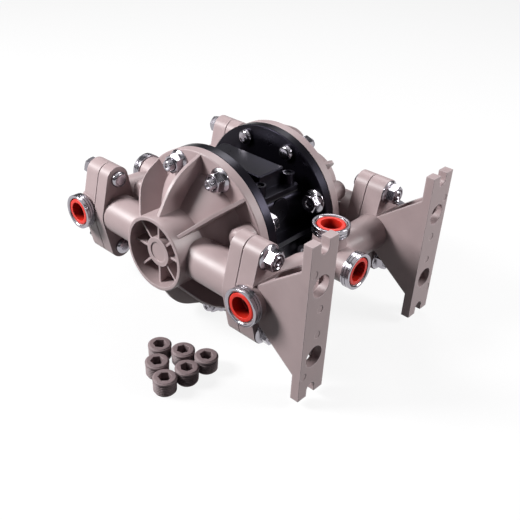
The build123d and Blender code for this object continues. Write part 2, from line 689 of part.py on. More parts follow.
# Fluid cap: rim, dome, open boss with hub and spokes, ribs, a tube to each side with its flange
with BuildPart() as fluid_cap_front:
    with BuildSketch(stroke_section):
        with BuildLine():
            Polyline(
                (dome_foot_radius, rim_y),
                (flange_radius, rim_y),
                (flange_radius, joint_y),
                (0, joint_y),
                (0, boss_reach),
                (boss_radius, boss_reach),
                (boss_radius, dome_top_y + boss_skirt),
                (dome_top_radius, dome_top_y),
            )
            ThreePointArc(
                (dome_top_radius, dome_top_y),
                (dome_middle_radius, dome_middle_y),
                (dome_foot_radius, rim_y),
            )
        make_face()
    revolve(axis=stroke_axis)
    circles = fluid_cap_front.edges().filter_by(GeomType.CIRCLE)
    fillet(circles.filter_by(lambda edge: at_front(edge, boss_radius, boss_reach)), boss_round)
    fillet(circles.filter_by(lambda edge: at_front(edge, flange_radius, rim_y)), rim_round)
    for angle in rib_angles:
        with BuildSketch(rib_plane(angle)):
            with BuildLine():
                inner_radius = boss_radius - boss_wall / 2
                FilletPolyline(
                    (rib_foot_radius, rim_y),
                    (rib_shoulder_radius, rib_shoulder_y),
                    (inner_radius, rib_top_y),
                    radius=rib_shoulder_bend,
                )
                Polyline(
                    (inner_radius, rib_top_y),
                    (inner_radius, joint_y + rim_thickness / 2),
                    (rib_foot_radius, joint_y + rim_thickness / 2),
                    (rib_foot_radius, rim_y),
                )
            make_face()
        extrude(amount=rib_thickness / 2, both=True)
    tube_start = boss_radius - boss_wall
    for end in (-1, 1):
        with BuildSketch(flow_plane(end * tube_start, -valve_y)):
            Circle(tube_radius)
        extrude(amount=end * (cap_oval_x - tube_start))
        with BuildSketch(front_plane(rim_y - rim_thickness / 2)):
            with Locations((end * (neck_reach + tube_start) / 2, 0)):
                Rectangle(neck_reach - tube_start, neck_width)
        extrude(amount=valve_y - rim_y + rim_thickness / 2)
        with BuildSketch(flow_plane(end * cap_oval_x, -valve_y)):
            add(oval.sketch)
            with Locations(oval_bolts):
                Circle(hole_radius, mode=Mode.SUBTRACT)
        extrude(amount=end * cap_oval_thickness)
        with BuildSketch(flow_plane(end * seam_x, -valve_y)):
            add(seam_groove.sketch)
        extrude(amount=-end * seam_groove_width / 2, mode=Mode.SUBTRACT)
    # Blind bosses beside the tubes take the short bolts, and nuts sit in seats elsewhere
    with BuildSketch(front_plane(rim_y)):
        with Locations(on_circle(boss_bolt_angles)):
            Circle(bolt_boss_radius)
    extrude(amount=bolt_boss_height)
    circles = fluid_cap_front.edges().filter_by(GeomType.CIRCLE)
    boss_tips = circles.filter_by(
        lambda edge: at_front(edge, bolt_boss_radius, rim_y + bolt_boss_height))
    fillet(boss_tips, bolt_boss_round)
    with BuildSketch(front_plane(rim_y)):
        with Locations(on_circle(through_bolt_angles)):
            Circle(nut_seat_radius)
    extrude(amount=boss_reach - rim_y, mode=Mode.SUBTRACT)
    # Boss recess with its hub and spokes
    with BuildSketch(front_plane(boss_floor_y)):
        Circle(boss_radius - boss_wall)
    extrude(amount=boss_reach - boss_floor_y, mode=Mode.SUBTRACT)
    with BuildSketch(front_plane(boss_floor_y)):
        Circle(hub_radius)
    extrude(amount=hub_reach - boss_floor_y)
    with BuildSketch(front_plane(hub_reach)):
        Circle(hub_dish_radius)
    extrude(amount=-hub_dish_depth, mode=Mode.SUBTRACT)
    with BuildSketch(front_plane(boss_floor_y)):
        with PolarLocations(0, spoke_count // 2, 0, 180):
            Rectangle(2 * boss_radius - boss_wall, spoke_thickness)
        Circle(hub_radius - spoke_thickness, mode=Mode.SUBTRACT)
    extrude(amount=spoke_reach - boss_floor_y)
    # Fluid chamber, clamp land and bead groove
    with BuildSketch(stroke_section):
        with BuildLine():
            Polyline(
                (clamp_radius - cap_clamp_land, joint_y + land_gap),
                (clamp_radius, joint_y + land_gap),
                (clamp_radius, joint_y + bead_depth),
                (bead_radius, joint_y + bead_depth),
                (bead_radius, joint_y),
                (0, joint_y),
                (0, chamber_top_y),
                (chamber_top_radius, chamber_top_y),
            )
            ThreePointArc(
                (chamber_top_radius, chamber_top_y),
                (dome_middle_radius - dome_wall, dome_middle_y - dome_wall / 2),
                (clamp_radius - cap_clamp_land, joint_y + land_gap),
            )
        make_face()
    revolve(axis=stroke_axis, mode=Mode.SUBTRACT)
    with BuildSketch(front_plane(valve_y)):
        for end in (-1, 1):
            with Locations((end * (passage_inner_x + passage_outer_x) / 2, 0)):
                Rectangle(passage_outer_x - passage_inner_x, passage_width)
    extrude(amount=-(valve_y - rim_y), mode=Mode.SUBTRACT)
    with BuildSketch(flow_plane(passage_inner_x, -valve_y)):
        Circle(tube_bore_radius)
    extrude(amount=seam_x - passage_inner_x, mode=Mode.SUBTRACT)
    with BuildSketch(flow_plane(-passage_inner_x, -valve_y)):
        Circle(seat_radius - seat_ledge)
    extrude(amount=passage_inner_x - seam_x, mode=Mode.SUBTRACT)
    with BuildSketch(flow_plane(-seam_x, -valve_y)):
        Circle(seat_radius + fit_gap)
    extrude(amount=seat_length + fit_gap, mode=Mode.SUBTRACT)
    with BuildSketch(flow_plane(-seam_x, -valve_y)):
        Circle(seat_radius + seal_width + 2 * fit_gap)
    extrude(amount=seal_thickness + fit_gap, mode=Mode.SUBTRACT)
    # Cage of the inlet ball: four guide ribs, and their inner ends stop the ball
    rib_root = tube_bore_radius + root_overlap
    with BuildSketch(flow_plane(passage_outer_x, -valve_y)):
        with PolarLocations((cage_radius + rib_root) / 2, 4, 45):
            Rectangle(rib_root - cage_radius, cage_rib)
    extrude(amount=seam_x - passage_outer_x)
    with BuildSketch(flow_plane(passage_outer_x, -valve_y)):
        with PolarLocations((cage_stop_radius + rib_root) / 2, 4, 45):
            Rectangle(rib_root - cage_stop_radius, cage_rib)
    extrude(amount=seam_x - ball_reach - passage_outer_x)
    with BuildSketch(front_plane(joint_y)):
        with Locations(on_circle(boss_bolt_angles)):
            Circle(bolt_radius + running_gap)
    extrude(amount=rim_thickness + bolt_boss_depth, mode=Mode.SUBTRACT)
    with BuildSketch(front_plane(joint_y)):
        with Locations(on_circle(through_bolt_angles)):
            Circle(hole_radius)
    extrude(amount=rim_thickness, mode=Mode.SUBTRACT)


# Manifolds: a bar with an elbow and a valve flange at each end and four ports
def manifold_outside(end):
    """Adds the front half of a manifold's outside: bar, elbow, end port boss and oval flange."""
    bar_x = pump_x + end * bar_offset
    section = Plane(origin=(bar_x, 0, 0), x_dir=(end, 0, 0), z_dir=(0, 0, -end))
    with BuildSketch(section) as half_bar:
        with BuildLine():
            Polyline(
                (0, 0),
                (bar_middle_radius, 0),
                (bar_middle_radius, bar_middle_length / 2),
                (bar_swell_radius, bar_swell_y),
                (elbow_radius, elbow_start_y),
                (elbow_radius, elbow_end_y),
                (port_boss_radius, elbow_end_y + elbow_radius - port_boss_radius),
                (port_boss_radius, end_port_reach - ring_lip),
                (0, end_port_reach - ring_lip),
                close=True,
            )
        make_face()
    revolve(half_bar.sketch, axis=Axis((bar_x, 0, 0), (0, -1, 0)))
    with BuildSketch(flow_plane(end * seam_x)) as past_seam:
        Rectangle(2 * end_port_reach, 2 * elbow_radius)
    extrude(past_seam.sketch, amount=-end * elbow_radius, mode=Mode.SUBTRACT)
    with BuildSketch(flow_plane(end * seam_x, -valve_y)) as valve_flange:
        add(oval.sketch)
    extrude(valve_flange.sketch, amount=end * manifold_oval_thickness)
    with BuildSketch(flow_plane(end * seam_x, -valve_y)) as groove:
        add(seam_groove.sketch)
    extrude(groove.sketch, amount=end * seam_groove_width / 2, mode=Mode.SUBTRACT)


def manifold_bores(end, port_planes):
    """Cuts the bore along the bar and the four ports, and the bolt holes of both flanges."""
    bar_x = pump_x + end * bar_offset
    along = Plane(origin=(bar_x, 0, 0), x_dir=(1, 0, 0), z_dir=(0, -1, 0))
    with BuildSketch(along) as bar_bore:
        Circle(bar_bore_radius)
    extrude(bar_bore.sketch, amount=end_port_reach, both=True, mode=Mode.SUBTRACT)
    for plane in port_planes:
        with BuildSketch(plane) as port_bore:
            Circle(port_bore_radius)
        extrude(port_bore.sketch, amount=-port_bore_depth, mode=Mode.SUBTRACT)
        with BuildSketch(plane) as port_mouth:
            Circle(port_mouth_radius)
        mouth_depth = cap_sink + cap_rim_thickness + loose_gap
        extrude(port_mouth.sketch, amount=-mouth_depth, mode=Mode.SUBTRACT)
    for side in (-1, 1):
        with BuildSketch(flow_plane(end * seam_x, side * valve_y)) as bolt_holes:
            with Locations(oval_bolts):
                Circle(hole_radius)
        extrude(bolt_holes.sketch, amount=end * manifold_oval_thickness, mode=Mode.SUBTRACT)


def middle_port_bosses(end, port_planes):
    """Adds the two port bosses at the middle of the bar, out to the lips of their rings."""
    bar_x = pump_x + end * bar_offset
    for plane in port_planes:
        reach = (plane.origin - Vector(bar_x, 0, 0)).length - ring_lip
        with BuildSketch(plane.offset(-ring_lip)) as boss:
            Circle(port_boss_radius)
        extrude(boss.sketch, amount=-reach)
        with BuildSketch(plane.offset(-ring_lip)) as bore:
            Circle(branch_bore_radius)
        extrude(bore.sketch, amount=-reach, mode=Mode.SUBTRACT)


with BuildPart() as inlet_manifold:
    # Foot: a hollow wedge that widens to the mounting strip
    with BuildSketch(front_plane(foot_inner_y)):
        Polygon(
            (foot_wedge_start, -foot_wedge_root),
            (strip_x, -foot_wedge_tip),
            (strip_x, foot_wedge_tip),
            (foot_wedge_start, foot_wedge_root),
            align=None,
        )
    extrude(amount=foot_width)
    pocket_rear_y = foot_inner_y + foot_wall
    pocket_front_y = foot_inner_y + foot_width - foot_wall
    for side in (-1, 1):
        with BuildSketch(Plane.XY.offset(side * foot_web / 2)) as pocket:
            Polygon(
                (pump_x + pocket_front_x, -pocket_front_y),
                (pump_x + pocket_rear_x, -pocket_rear_y),
                (pump_x + strip_x, -pocket_rear_y),
                (pump_x + strip_x, -pocket_front_y),
                align=None,
            )
            fillet(pocket.vertices(), pocket_corner)
        extrude(amount=side * foot_wedge_tip, mode=Mode.SUBTRACT)
    with BuildSketch(flow_plane(strip_x, -foot_inner_y - foot_width / 2)):
        Rectangle(foot_width, foot_strip_height)
    extrude(amount=foot_strip_thickness)
    manifold_outside(1)
    mirror(about=Plane.XZ)
    middle_port_bosses(1, [inlet_ports["inlet_side"], inlet_ports["inlet_top"]])
    manifold_bores(1, inlet_ports.values())
    for plane in inlet_seats:
        with BuildSketch(plane):
            Circle(seat_radius + fit_gap)
        extrude(amount=seat_length + fit_gap, mode=Mode.SUBTRACT)
        with BuildSketch(plane):
            Circle(seat_radius + seal_width + 2 * fit_gap)
        extrude(amount=seal_thickness + fit_gap, mode=Mode.SUBTRACT)
        with BuildSketch(plane):
            Circle(bar_bore_radius)
        extrude(amount=bar_offset - seam_x, mode=Mode.SUBTRACT)
    # Foot holes and the open slots at the ends of the strips
    with BuildSketch(Plane(origin=(0, 0, 0), x_dir=(0, 1, 0), z_dir=(1, 0, 0))):
        with GridLocations(foot_hole_spacing_y, foot_hole_spacing_z, 2, 2):
            Circle(foot_hole_radius)
        slot_straight = foot_slot_depth - foot_slot_width / 2
        with GridLocations(foot_hole_spacing_y, foot_strip_height - 2 * slot_straight, 2, 2):
            Circle(foot_slot_width / 2)
        with GridLocations(foot_hole_spacing_y, foot_strip_height - slot_straight, 2, 2):
            Rectangle(foot_slot_width, slot_straight)
    extrude(amount=-foot_strip_thickness, mode=Mode.SUBTRACT)
    with BuildSketch(Plane(origin=(0, 0, 0), x_dir=(0, 1, 0), z_dir=(1, 0, 0))):
        with Locations([(side * y, z) for side in (-1, 1) for y, z in ejector_marks]):
            Circle(ejector_radius)
    extrude(amount=-ejector_depth, mode=Mode.SUBTRACT)
inlet_manifold.part.label = "inlet_manifold"
export_step(inlet_manifold.part, "parts/inlet_manifold.step")


with BuildPart() as outlet_manifold:
    manifold_outside(-1)
    mirror(about=Plane.XZ)
    middle_port_bosses(-1, [outlet_ports["outlet_side"], outlet_ports["outlet_bottom"]])
    manifold_bores(-1, outlet_ports.values())
    # Cage of each outlet ball: a bore with four guide ribs and a post that stops the ball
    for side in (-1, 1):
        with BuildSketch(flow_plane(-seam_x, side * valve_y)):
            Circle(outlet_cage_radius)
            with PolarLocations((cage_radius + outlet_cage_radius + root_overlap) / 2, 4, 45):
                Rectangle(outlet_cage_radius + root_overlap - cage_radius, cage_rib,
                          mode=Mode.SUBTRACT)
        extrude(amount=-ball_reach, mode=Mode.SUBTRACT)
        with BuildSketch(flow_plane(-seam_x - ball_reach, side * valve_y)):
            Circle(stop_post_radius)
        extrude(amount=-(bar_offset + bar_bore_radius - seam_x - ball_reach + root_overlap))
outlet_manifold.part.label = "outlet_manifold"
export_step(outlet_manifold.part, "parts/outlet_manifold.step")


# Steel ring round each port, and the closure cap pressed into it
with BuildPart() as port_rings:
    with BuildSketch(*ports.values()):
        Circle(ring_radius)
        Circle(ring_lip_radius, mode=Mode.SUBTRACT)
    extrude(amount=-ring_lip)
    with BuildSketch(*ports.values()):
        Circle(ring_radius)
        Circle(port_boss_radius + ring_gap, mode=Mode.SUBTRACT)
    extrude(amount=-ring_length)
    outer_edges = port_rings.edges().filter_by(GeomType.CIRCLE).filter_by(
        lambda edge: abs(edge.radius - ring_radius) < same_place)
    chamfer(outer_edges, ring_lip / 2)
port_rings.part.label = "port_rings"
export_step(port_rings.part, "parts/port_rings.step")

cap_body_radius = port_bore_radius - loose_gap
for name, plane in ports.items():
    with BuildPart() as port_cap:
        with BuildSketch(plane.offset(-cap_sink)):
            Circle(cap_rim_radius)
        extrude(amount=-cap_rim_thickness)
        with BuildSketch(plane.offset(-cap_sink)):
            Circle(cap_body_radius)
        extrude(amount=-cap_length, taper=cap_taper)
        with BuildSketch(plane.offset(-cap_sink)):
            Circle(cap_body_radius - cap_wall)
        extrude(amount=-(cap_length - cap_floor), taper=cap_taper, mode=Mode.SUBTRACT)
    port_cap.part.label = f"port_cap_{name}"
    export_step(port_cap.part, f"parts/port_cap_{name}.step")


# Check valves: seats, their seals and the balls
with BuildPart() as ball_seats:
    with BuildSketch(*inlet_seats, *outlet_seats):
        Circle(seat_radius)
        Circle(seat_throat_radius, mode=Mode.SUBTRACT)
    extrude(amount=seat_length)
    with BuildSketch(*inlet_seats, *outlet_seats):
        Circle(seat_mouth_radius)
    extrude(amount=seat_mouth_radius - seat_throat_radius, taper=45, mode=Mode.SUBTRACT)
ball_seats.part.label = "ball_seats"
export_step(ball_seats.part, "parts/ball_seats.step")

with BuildPart() as seat_seals:
    with BuildSketch(*inlet_seats, *outlet_seats):
        Circle(seat_radius + fit_gap + seal_width)
        Circle(seat_radius + fit_gap, mode=Mode.SUBTRACT)
    extrude(amount=seal_thickness)
seat_seals.part.label = "seat_seals"
export_step(seat_seals.part, "parts/seat_seals.step")

ball_places = {
    "inlet_ball_front": inlet_seats[0],
    "inlet_ball_rear": inlet_seats[1],
    "outlet_ball_front": outlet_seats[0],
    "outlet_ball_rear": outlet_seats[1],
}
for name, plane in ball_places.items():
    with BuildPart(plane.offset(-ball_stand)) as ball:
        Sphere(ball_radius)
    ball.part.label = name
    export_step(ball.part, f"parts/{name}.step")


# Cap bolts: round heads where a nut stands on the cap, hexagon heads where its boss is tapped
with BuildPart() as cap_bolts_front:
    with BuildSketch(front_plane(flange_inner_y)):
        with Locations(on_circle(through_bolt_angles)):
            Circle(round_head_radius)
    extrude(amount=-round_head)
    head_edges = cap_bolts_front.edges().filter_by(GeomType.CIRCLE)
    fillet(head_edges.filter_by(
        lambda edge: at_front(edge, round_head_radius, flange_inner_y - round_head)), round_head_bend)
    with BuildSketch(front_plane(flange_inner_y)):
        with Locations(on_circle(boss_bolt_angles)):
            Circle(bolt_head_flange_radius)
    extrude(amount=-bolt_head_flange)
    with BuildSketch(front_plane(flange_inner_y - bolt_head_flange)):
        with Locations(on_circle(boss_bolt_angles)):
            RegularPolygon(hex_radius, 6)
    extrude(amount=-bolt_head)
    with BuildSketch(front_plane(flange_inner_y - bolt_head_flange - bolt_head)):
        with Locations(on_circle(boss_bolt_angles)):
            Circle(bolt_head_recess)
    extrude(amount=bolt_head_recess_depth, mode=Mode.SUBTRACT)
    with BuildSketch(front_plane(flange_inner_y)):
        with Locations(on_circle(boss_bolt_angles)):
            Circle(bolt_radius)
    extrude(amount=rim_y + tapped_engagement - flange_inner_y)
    with BuildSketch(front_plane(flange_inner_y)):
        with Locations(on_circle(through_bolt_angles)):
            Circle(bolt_radius)
    extrude(amount=rim_y + nut_flange + nut_height + cap_bolt_end - flange_inner_y)

with BuildPart() as cap_nuts_front:
    with BuildSketch(front_plane(rim_y)):
        with Locations(on_circle(through_bolt_angles)):
            Circle(bolt_head_flange_radius)
    extrude(amount=nut_flange)
    with BuildSketch(front_plane(rim_y + nut_flange)):
        with Locations(on_circle(through_bolt_angles)):
            RegularPolygon(hex_radius, 6)
    extrude(amount=nut_height)
    with BuildSketch(front_plane(rim_y)):
        with Locations(on_circle(through_bolt_angles)):
            Circle(bolt_radius + running_gap)
    extrude(amount=nut_flange + nut_height, mode=Mode.SUBTRACT)

# Rear pieces are the mirror images of the front ones
front_pieces = {
    "air_cover": air_cover_front,
    "fluid_cap": fluid_cap_front,
    "diaphragm": diaphragm_front,
    "inner_washer": inner_washer_front,
    "outer_washer": outer_washer_front,
    "cap_bolts": cap_bolts_front,
    "cap_nuts": cap_nuts_front,
}
for name, front in front_pieces.items():
    with BuildPart() as rear:
        add(front.part)
        mirror(about=Plane.XZ, mode=Mode.REPLACE)
    front.part.label = f"{name}_front"
    rear.part.label = f"{name}_rear"
    export_step(front.part, f"parts/{name}_front.step")
    export_step(rear.part, f"parts/{name}_rear.step")

# Manifold bolts: heads beside the tubes, nuts on the manifolds
with BuildPart() as manifold_bolts:
    for end in (-1, 1):
        for side in (-1, 1):
            with BuildSketch(flow_plane(end * cap_oval_x, side * valve_y)):
                with Locations(oval_bolts):
                    Circle(round_head_radius)
            extrude(amount=-end * round_head)
    head_edges = manifold_bolts.edges().filter_by(GeomType.CIRCLE)
    fillet(head_edges.filter_by(
        lambda edge: abs(abs(edge.center().X - pump_x) - cap_oval_x + round_head) < same_place),
        round_head_bend)
    for end in (-1, 1):
        for side in (-1, 1):
            with BuildSketch(flow_plane(end * cap_oval_x, side * valve_y)):
                with Locations(oval_bolts):
                    Circle(bolt_radius)
            grip = manifold_oval_x - cap_oval_x + nut_flange + nut_height
            extrude(amount=end * (grip + manifold_bolt_end))
manifold_bolts.part.label = "manifold_bolts"
export_step(manifold_bolts.part, "parts/manifold_bolts.step")

with BuildPart() as manifold_nuts:
    for end in (-1, 1):
        for side in (-1, 1):
            with BuildSketch(flow_plane(end * manifold_oval_x, side * valve_y)):
                with Locations(oval_bolts):
                    Circle(bolt_head_flange_radius)
            extrude(amount=end * nut_flange)
            with BuildSketch(flow_plane(end * (manifold_oval_x + nut_flange), side * valve_y)):
                with Locations(oval_bolts):
                    RegularPolygon(hex_radius, 6)
            extrude(amount=end * nut_height)
            with BuildSketch(flow_plane(end * manifold_oval_x, side * valve_y)):
                with Locations(oval_bolts):
                    Circle(bolt_radius + running_gap)
            extrude(amount=end * (nut_flange + nut_height), mode=Mode.SUBTRACT)
manifold_nuts.part.label = "manifold_nuts"
export_step(manifold_nuts.part, "parts/manifold_nuts.step")


# Loose taper plugs that stand beside the pump
plug_foot_radius = plug_radius - plug_height * plug_taper
for index, (x, y) in enumerate(plug_places):
    turn = radians(plug_turns[index])
    upright = Plane(origin=(pump_x + x, y, floor_z), x_dir=(cos(turn), sin(turn), 0),
                    z_dir=(sin(turn), -cos(turn), 0))
    with BuildPart() as plug:
        with BuildSketch(upright):
            Polygon(
                (0, 0),
                (plug_foot_radius - plug_edge, 0),
                (plug_foot_radius, plug_edge),
                (plug_radius, plug_height - plug_edge),
                (plug_radius - plug_edge, plug_height),
                (0, plug_height),
                align=None,
            )
        revolve(axis=Axis((pump_x + x, y, 0), (0, 0, 1)))
        with BuildSketch(level_plane(floor_z + plug_height, x, y)):
            RegularPolygon(plug_hex_flats / sqrt(3), 6, rotation=plug_turns[index])
        extrude(amount=-plug_hex_depth, mode=Mode.SUBTRACT)
    plug.part.label = f"pipe_plug_{index + 1}"
    export_step(plug.part, f"parts/pipe_plug_{index + 1}.step")
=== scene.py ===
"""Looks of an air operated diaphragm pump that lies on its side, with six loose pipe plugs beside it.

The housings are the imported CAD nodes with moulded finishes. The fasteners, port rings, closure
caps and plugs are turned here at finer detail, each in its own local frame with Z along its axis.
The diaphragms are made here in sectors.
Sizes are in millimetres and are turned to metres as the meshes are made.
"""
import json
import logging
from collections.abc import Callable
from dataclasses import dataclass, field
from enum import Enum
from math import cos, pi, radians, sin, tan

import bmesh
import bpy
from mathutils import Matrix, Vector


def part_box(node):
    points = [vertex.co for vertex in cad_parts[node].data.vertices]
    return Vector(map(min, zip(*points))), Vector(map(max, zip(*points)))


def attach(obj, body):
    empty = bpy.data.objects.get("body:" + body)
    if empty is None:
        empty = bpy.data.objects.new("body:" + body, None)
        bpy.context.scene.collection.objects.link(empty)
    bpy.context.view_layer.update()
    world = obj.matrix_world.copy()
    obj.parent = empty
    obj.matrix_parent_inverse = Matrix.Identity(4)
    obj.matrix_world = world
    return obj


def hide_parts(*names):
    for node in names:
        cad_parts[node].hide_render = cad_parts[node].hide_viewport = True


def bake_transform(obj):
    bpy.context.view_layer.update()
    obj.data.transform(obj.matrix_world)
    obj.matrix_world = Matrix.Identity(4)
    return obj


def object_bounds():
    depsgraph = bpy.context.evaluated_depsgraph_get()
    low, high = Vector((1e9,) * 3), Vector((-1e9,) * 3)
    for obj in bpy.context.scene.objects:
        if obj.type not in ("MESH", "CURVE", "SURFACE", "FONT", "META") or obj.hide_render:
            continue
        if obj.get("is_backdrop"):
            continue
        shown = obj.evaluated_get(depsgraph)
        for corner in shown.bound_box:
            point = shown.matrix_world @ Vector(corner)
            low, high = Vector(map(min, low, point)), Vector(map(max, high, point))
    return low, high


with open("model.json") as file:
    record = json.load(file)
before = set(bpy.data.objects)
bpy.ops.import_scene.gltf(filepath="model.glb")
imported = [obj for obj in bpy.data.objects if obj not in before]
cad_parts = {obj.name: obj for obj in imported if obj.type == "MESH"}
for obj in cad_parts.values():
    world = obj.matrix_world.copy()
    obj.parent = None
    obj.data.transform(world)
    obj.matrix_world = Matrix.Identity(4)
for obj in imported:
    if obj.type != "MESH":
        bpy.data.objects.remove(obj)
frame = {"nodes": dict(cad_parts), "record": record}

MM = 0.001
PORT_PREFIX = "port_"
# The Wave texture runs through 20 radians of its wave for each unit of scaled length
WAVE_SCALE = 2 * pi / 20
log = logging.getLogger("pump")

Radius = float | Callable[[float], float]


def linear(hex_colour: str) -> tuple[float, float, float, float]:
    """Turns an sRGB hex colour into the linear RGBA that the shaders take.

    Args:
        hex_colour: Six hex digits, such as "A49A9A".

    Returns:
        Linear red, green, blue and an alpha of 1.
    """
    channels = [int(hex_colour[i:i + 2], 16) / 255 for i in (0, 2, 4)]
    bent = [c / 12.92 if c <= 0.04045 else ((c + 0.055) / 1.055) ** 2.4 for c in channels]
    return (bent[0], bent[1], bent[2], 1.0)


def add_node(
    tree: bpy.types.NodeTree, kind: str, inputs: dict[str | int, object] | None = None, **settings: object
) -> bpy.types.Node:
    """Adds a shader node with its settings, and sets or links its inputs.

    Args:
        tree: The node tree that gets the node.
        kind: The node's type name.
        inputs: Socket name or number to a value, or to the output socket that it is linked from.
        settings: The node's own properties.

    Returns:
        The new node.
    """
    node = tree.nodes.new(kind)
    for name, value in settings.items():
        setattr(node, name, value)
    for key, value in (inputs or {}).items():
        if isinstance(value, bpy.types.NodeSocket):
            tree.links.new(value, node.inputs[key])
        else:
            node.inputs[key].default_value = value
    return node


def per_metre(size_mm: float) -> float:
    """Gives the texture scale at which a pattern repeats every size_mm."""
    return 1.0 / (size_mm * MM)


class Slot(Enum):
    """The record's material slots."""

    TAUPE = "taupe_polypropylene"
    BLACK = "black_polypropylene"
    POLISHED = "polished_stainless"
    TURNED = "turned_stainless"
    RED = "red_polyethylene"
    NYLON = "grey_nylon"
    PTFE = "white_ptfe"
    NITRILE = "black_nitrile"
    ALUMINIUM = "machined_aluminium"


class MixSocket(Enum):
    """Sockets of the Mix node when it mixes colours: three inputs and its output."""

    FACTOR = 0
    FIRST = 6
    SECOND = 7
    RESULT = 2


@dataclass(frozen=True)
class MouldedPlastic:
    """Finish of an injection moulded piece: soft gloss, faint mottle, rounded edges with painted highlight.

    The grain is drawn coarser than a mould leaves it, so that it shows. A painted shade colour, where
    one is given, takes over down in hollows.
    """

    name: str
    colour: str
    # The colour of the painted highlight that makes edges paler
    edge_highlight_colour: str
    roughness: float
    ior: float
    tint: str = "FFFFFF"
    mottle_mm: float = 22.0
    mottle: float = 0.05
    mottle_gloss: float = 0.04
    grain_mm: float = 1.2
    grain: float = 0.05
    grain_height_mm: float = 0.1
    edge_mm: float = 0.7
    # How far the painted highlight pales the edges
    edge_highlight: float = 0.5
    # Reach and colour of the painted shade down in hollows
    painted_depth_shade_mm: float = 3.0
    painted_depth_shade: str = ""

    def build(self) -> bpy.types.Material:
        """Makes the material.

        Returns:
            The material, with its colour, roughness and bump from object coordinates.
        """
        material = bpy.data.materials.new(self.name)
        material.use_nodes = True
        tree = material.node_tree
        tree.nodes.clear()
        place = add_node(tree, "ShaderNodeTexCoord").outputs["Object"]
        mottle = add_node(tree, "ShaderNodeTexNoise", {
            "Vector": place, "Scale": per_metre(self.mottle_mm), "Detail": 3.0, "Roughness": 0.55})
        shade = add_node(tree, "ShaderNodeMapRange", {
            "Value": mottle.outputs["Fac"], "From Min": 0.3, "From Max": 0.7,
            "To Min": 1.0 - self.mottle, "To Max": 1.0 + self.mottle})
        body = add_node(tree, "ShaderNodeHueSaturation", {
            "Value": shade.outputs["Result"], "Color": linear(self.colour)}).outputs["Color"]
        # Painted shade: the colour darkens down in hollows
        if self.painted_depth_shade:
            body = self.paint_hollow_shade(tree, body)
        # Painted highlight: edges, found by occlusion inside the piece, turn paler
        inside = add_node(tree, "ShaderNodeAmbientOcclusion", {"Distance": self.edge_mm * 2 * MM},
                          inside=True, only_local=True, samples=6)
        edge = add_node(tree, "ShaderNodeMapRange", {
            "Value": inside.outputs["AO"], "From Min": 0.95, "From Max": 0.45,
            "To Min": 0.0, "To Max": self.edge_highlight})
        colour = add_node(tree, "ShaderNodeMix", {
            MixSocket.FACTOR.value: edge.outputs["Result"], MixSocket.FIRST.value: body,
            MixSocket.SECOND.value: linear(self.edge_highlight_colour)}, data_type="RGBA")
        rough = add_node(tree, "ShaderNodeMapRange", {
            "Value": mottle.outputs["Fac"], "From Min": 0.3, "From Max": 0.7,
            "To Min": self.roughness - self.mottle_gloss, "To Max": self.roughness + self.mottle_gloss})
        rounded = add_node(tree, "ShaderNodeBevel", {"Radius": self.edge_mm * MM}, samples=6)
        grain = add_node(tree, "ShaderNodeTexNoise", {
            "Vector": place, "Scale": per_metre(self.grain_mm), "Detail": 2.0})
        bump = add_node(tree, "ShaderNodeBump", {
            "Strength": self.grain, "Distance": self.grain_height_mm * MM,
            "Height": grain.outputs["Fac"],
            "Normal": rounded.outputs["Normal"]})
        shader = add_node(tree, "ShaderNodeBsdfPrincipled", {
            "Base Color": colour.outputs[MixSocket.RESULT.value],
            "Roughness": rough.outputs["Result"], "IOR": self.ior,
            "Specular Tint": linear(self.tint), "Normal": bump.outputs["Normal"]})
        add_node(tree, "ShaderNodeOutputMaterial", {"Surface": shader.outputs["BSDF"]})
        return material

    def paint_hollow_shade(self, tree: bpy.types.NodeTree, colour: bpy.types.NodeSocket) -> bpy.types.NodeSocket:
        """Paints shade: turns a colour to the painted shade colour where the surface lies down in a hollow.

        Args:
            tree: The material's node tree.
            colour: The colour in the open.

        Returns:
            The colour, darkened by painted shade in hollows.
        """
        # Occlusion decides where the painted shade falls
        hollow = add_node(tree, "ShaderNodeAmbientOcclusion", {"Distance": self.painted_depth_shade_mm * MM},
                          only_local=True, samples=8)
        depth = add_node(tree, "ShaderNodeMapRange", {
            "Value": hollow.outputs["AO"], "From Min": 0.85, "From Max": 0.25,
            "To Min": 0.0, "To Max": 1.0})
        shaded_colour = add_node(tree, "ShaderNodeMix", {
            MixSocket.FACTOR.value: depth.outputs["Result"], MixSocket.FIRST.value: colour,
            MixSocket.SECOND.value: linear(self.painted_depth_shade)}, data_type="RGBA")
        return shaded_colour.outputs[MixSocket.RESULT.value]


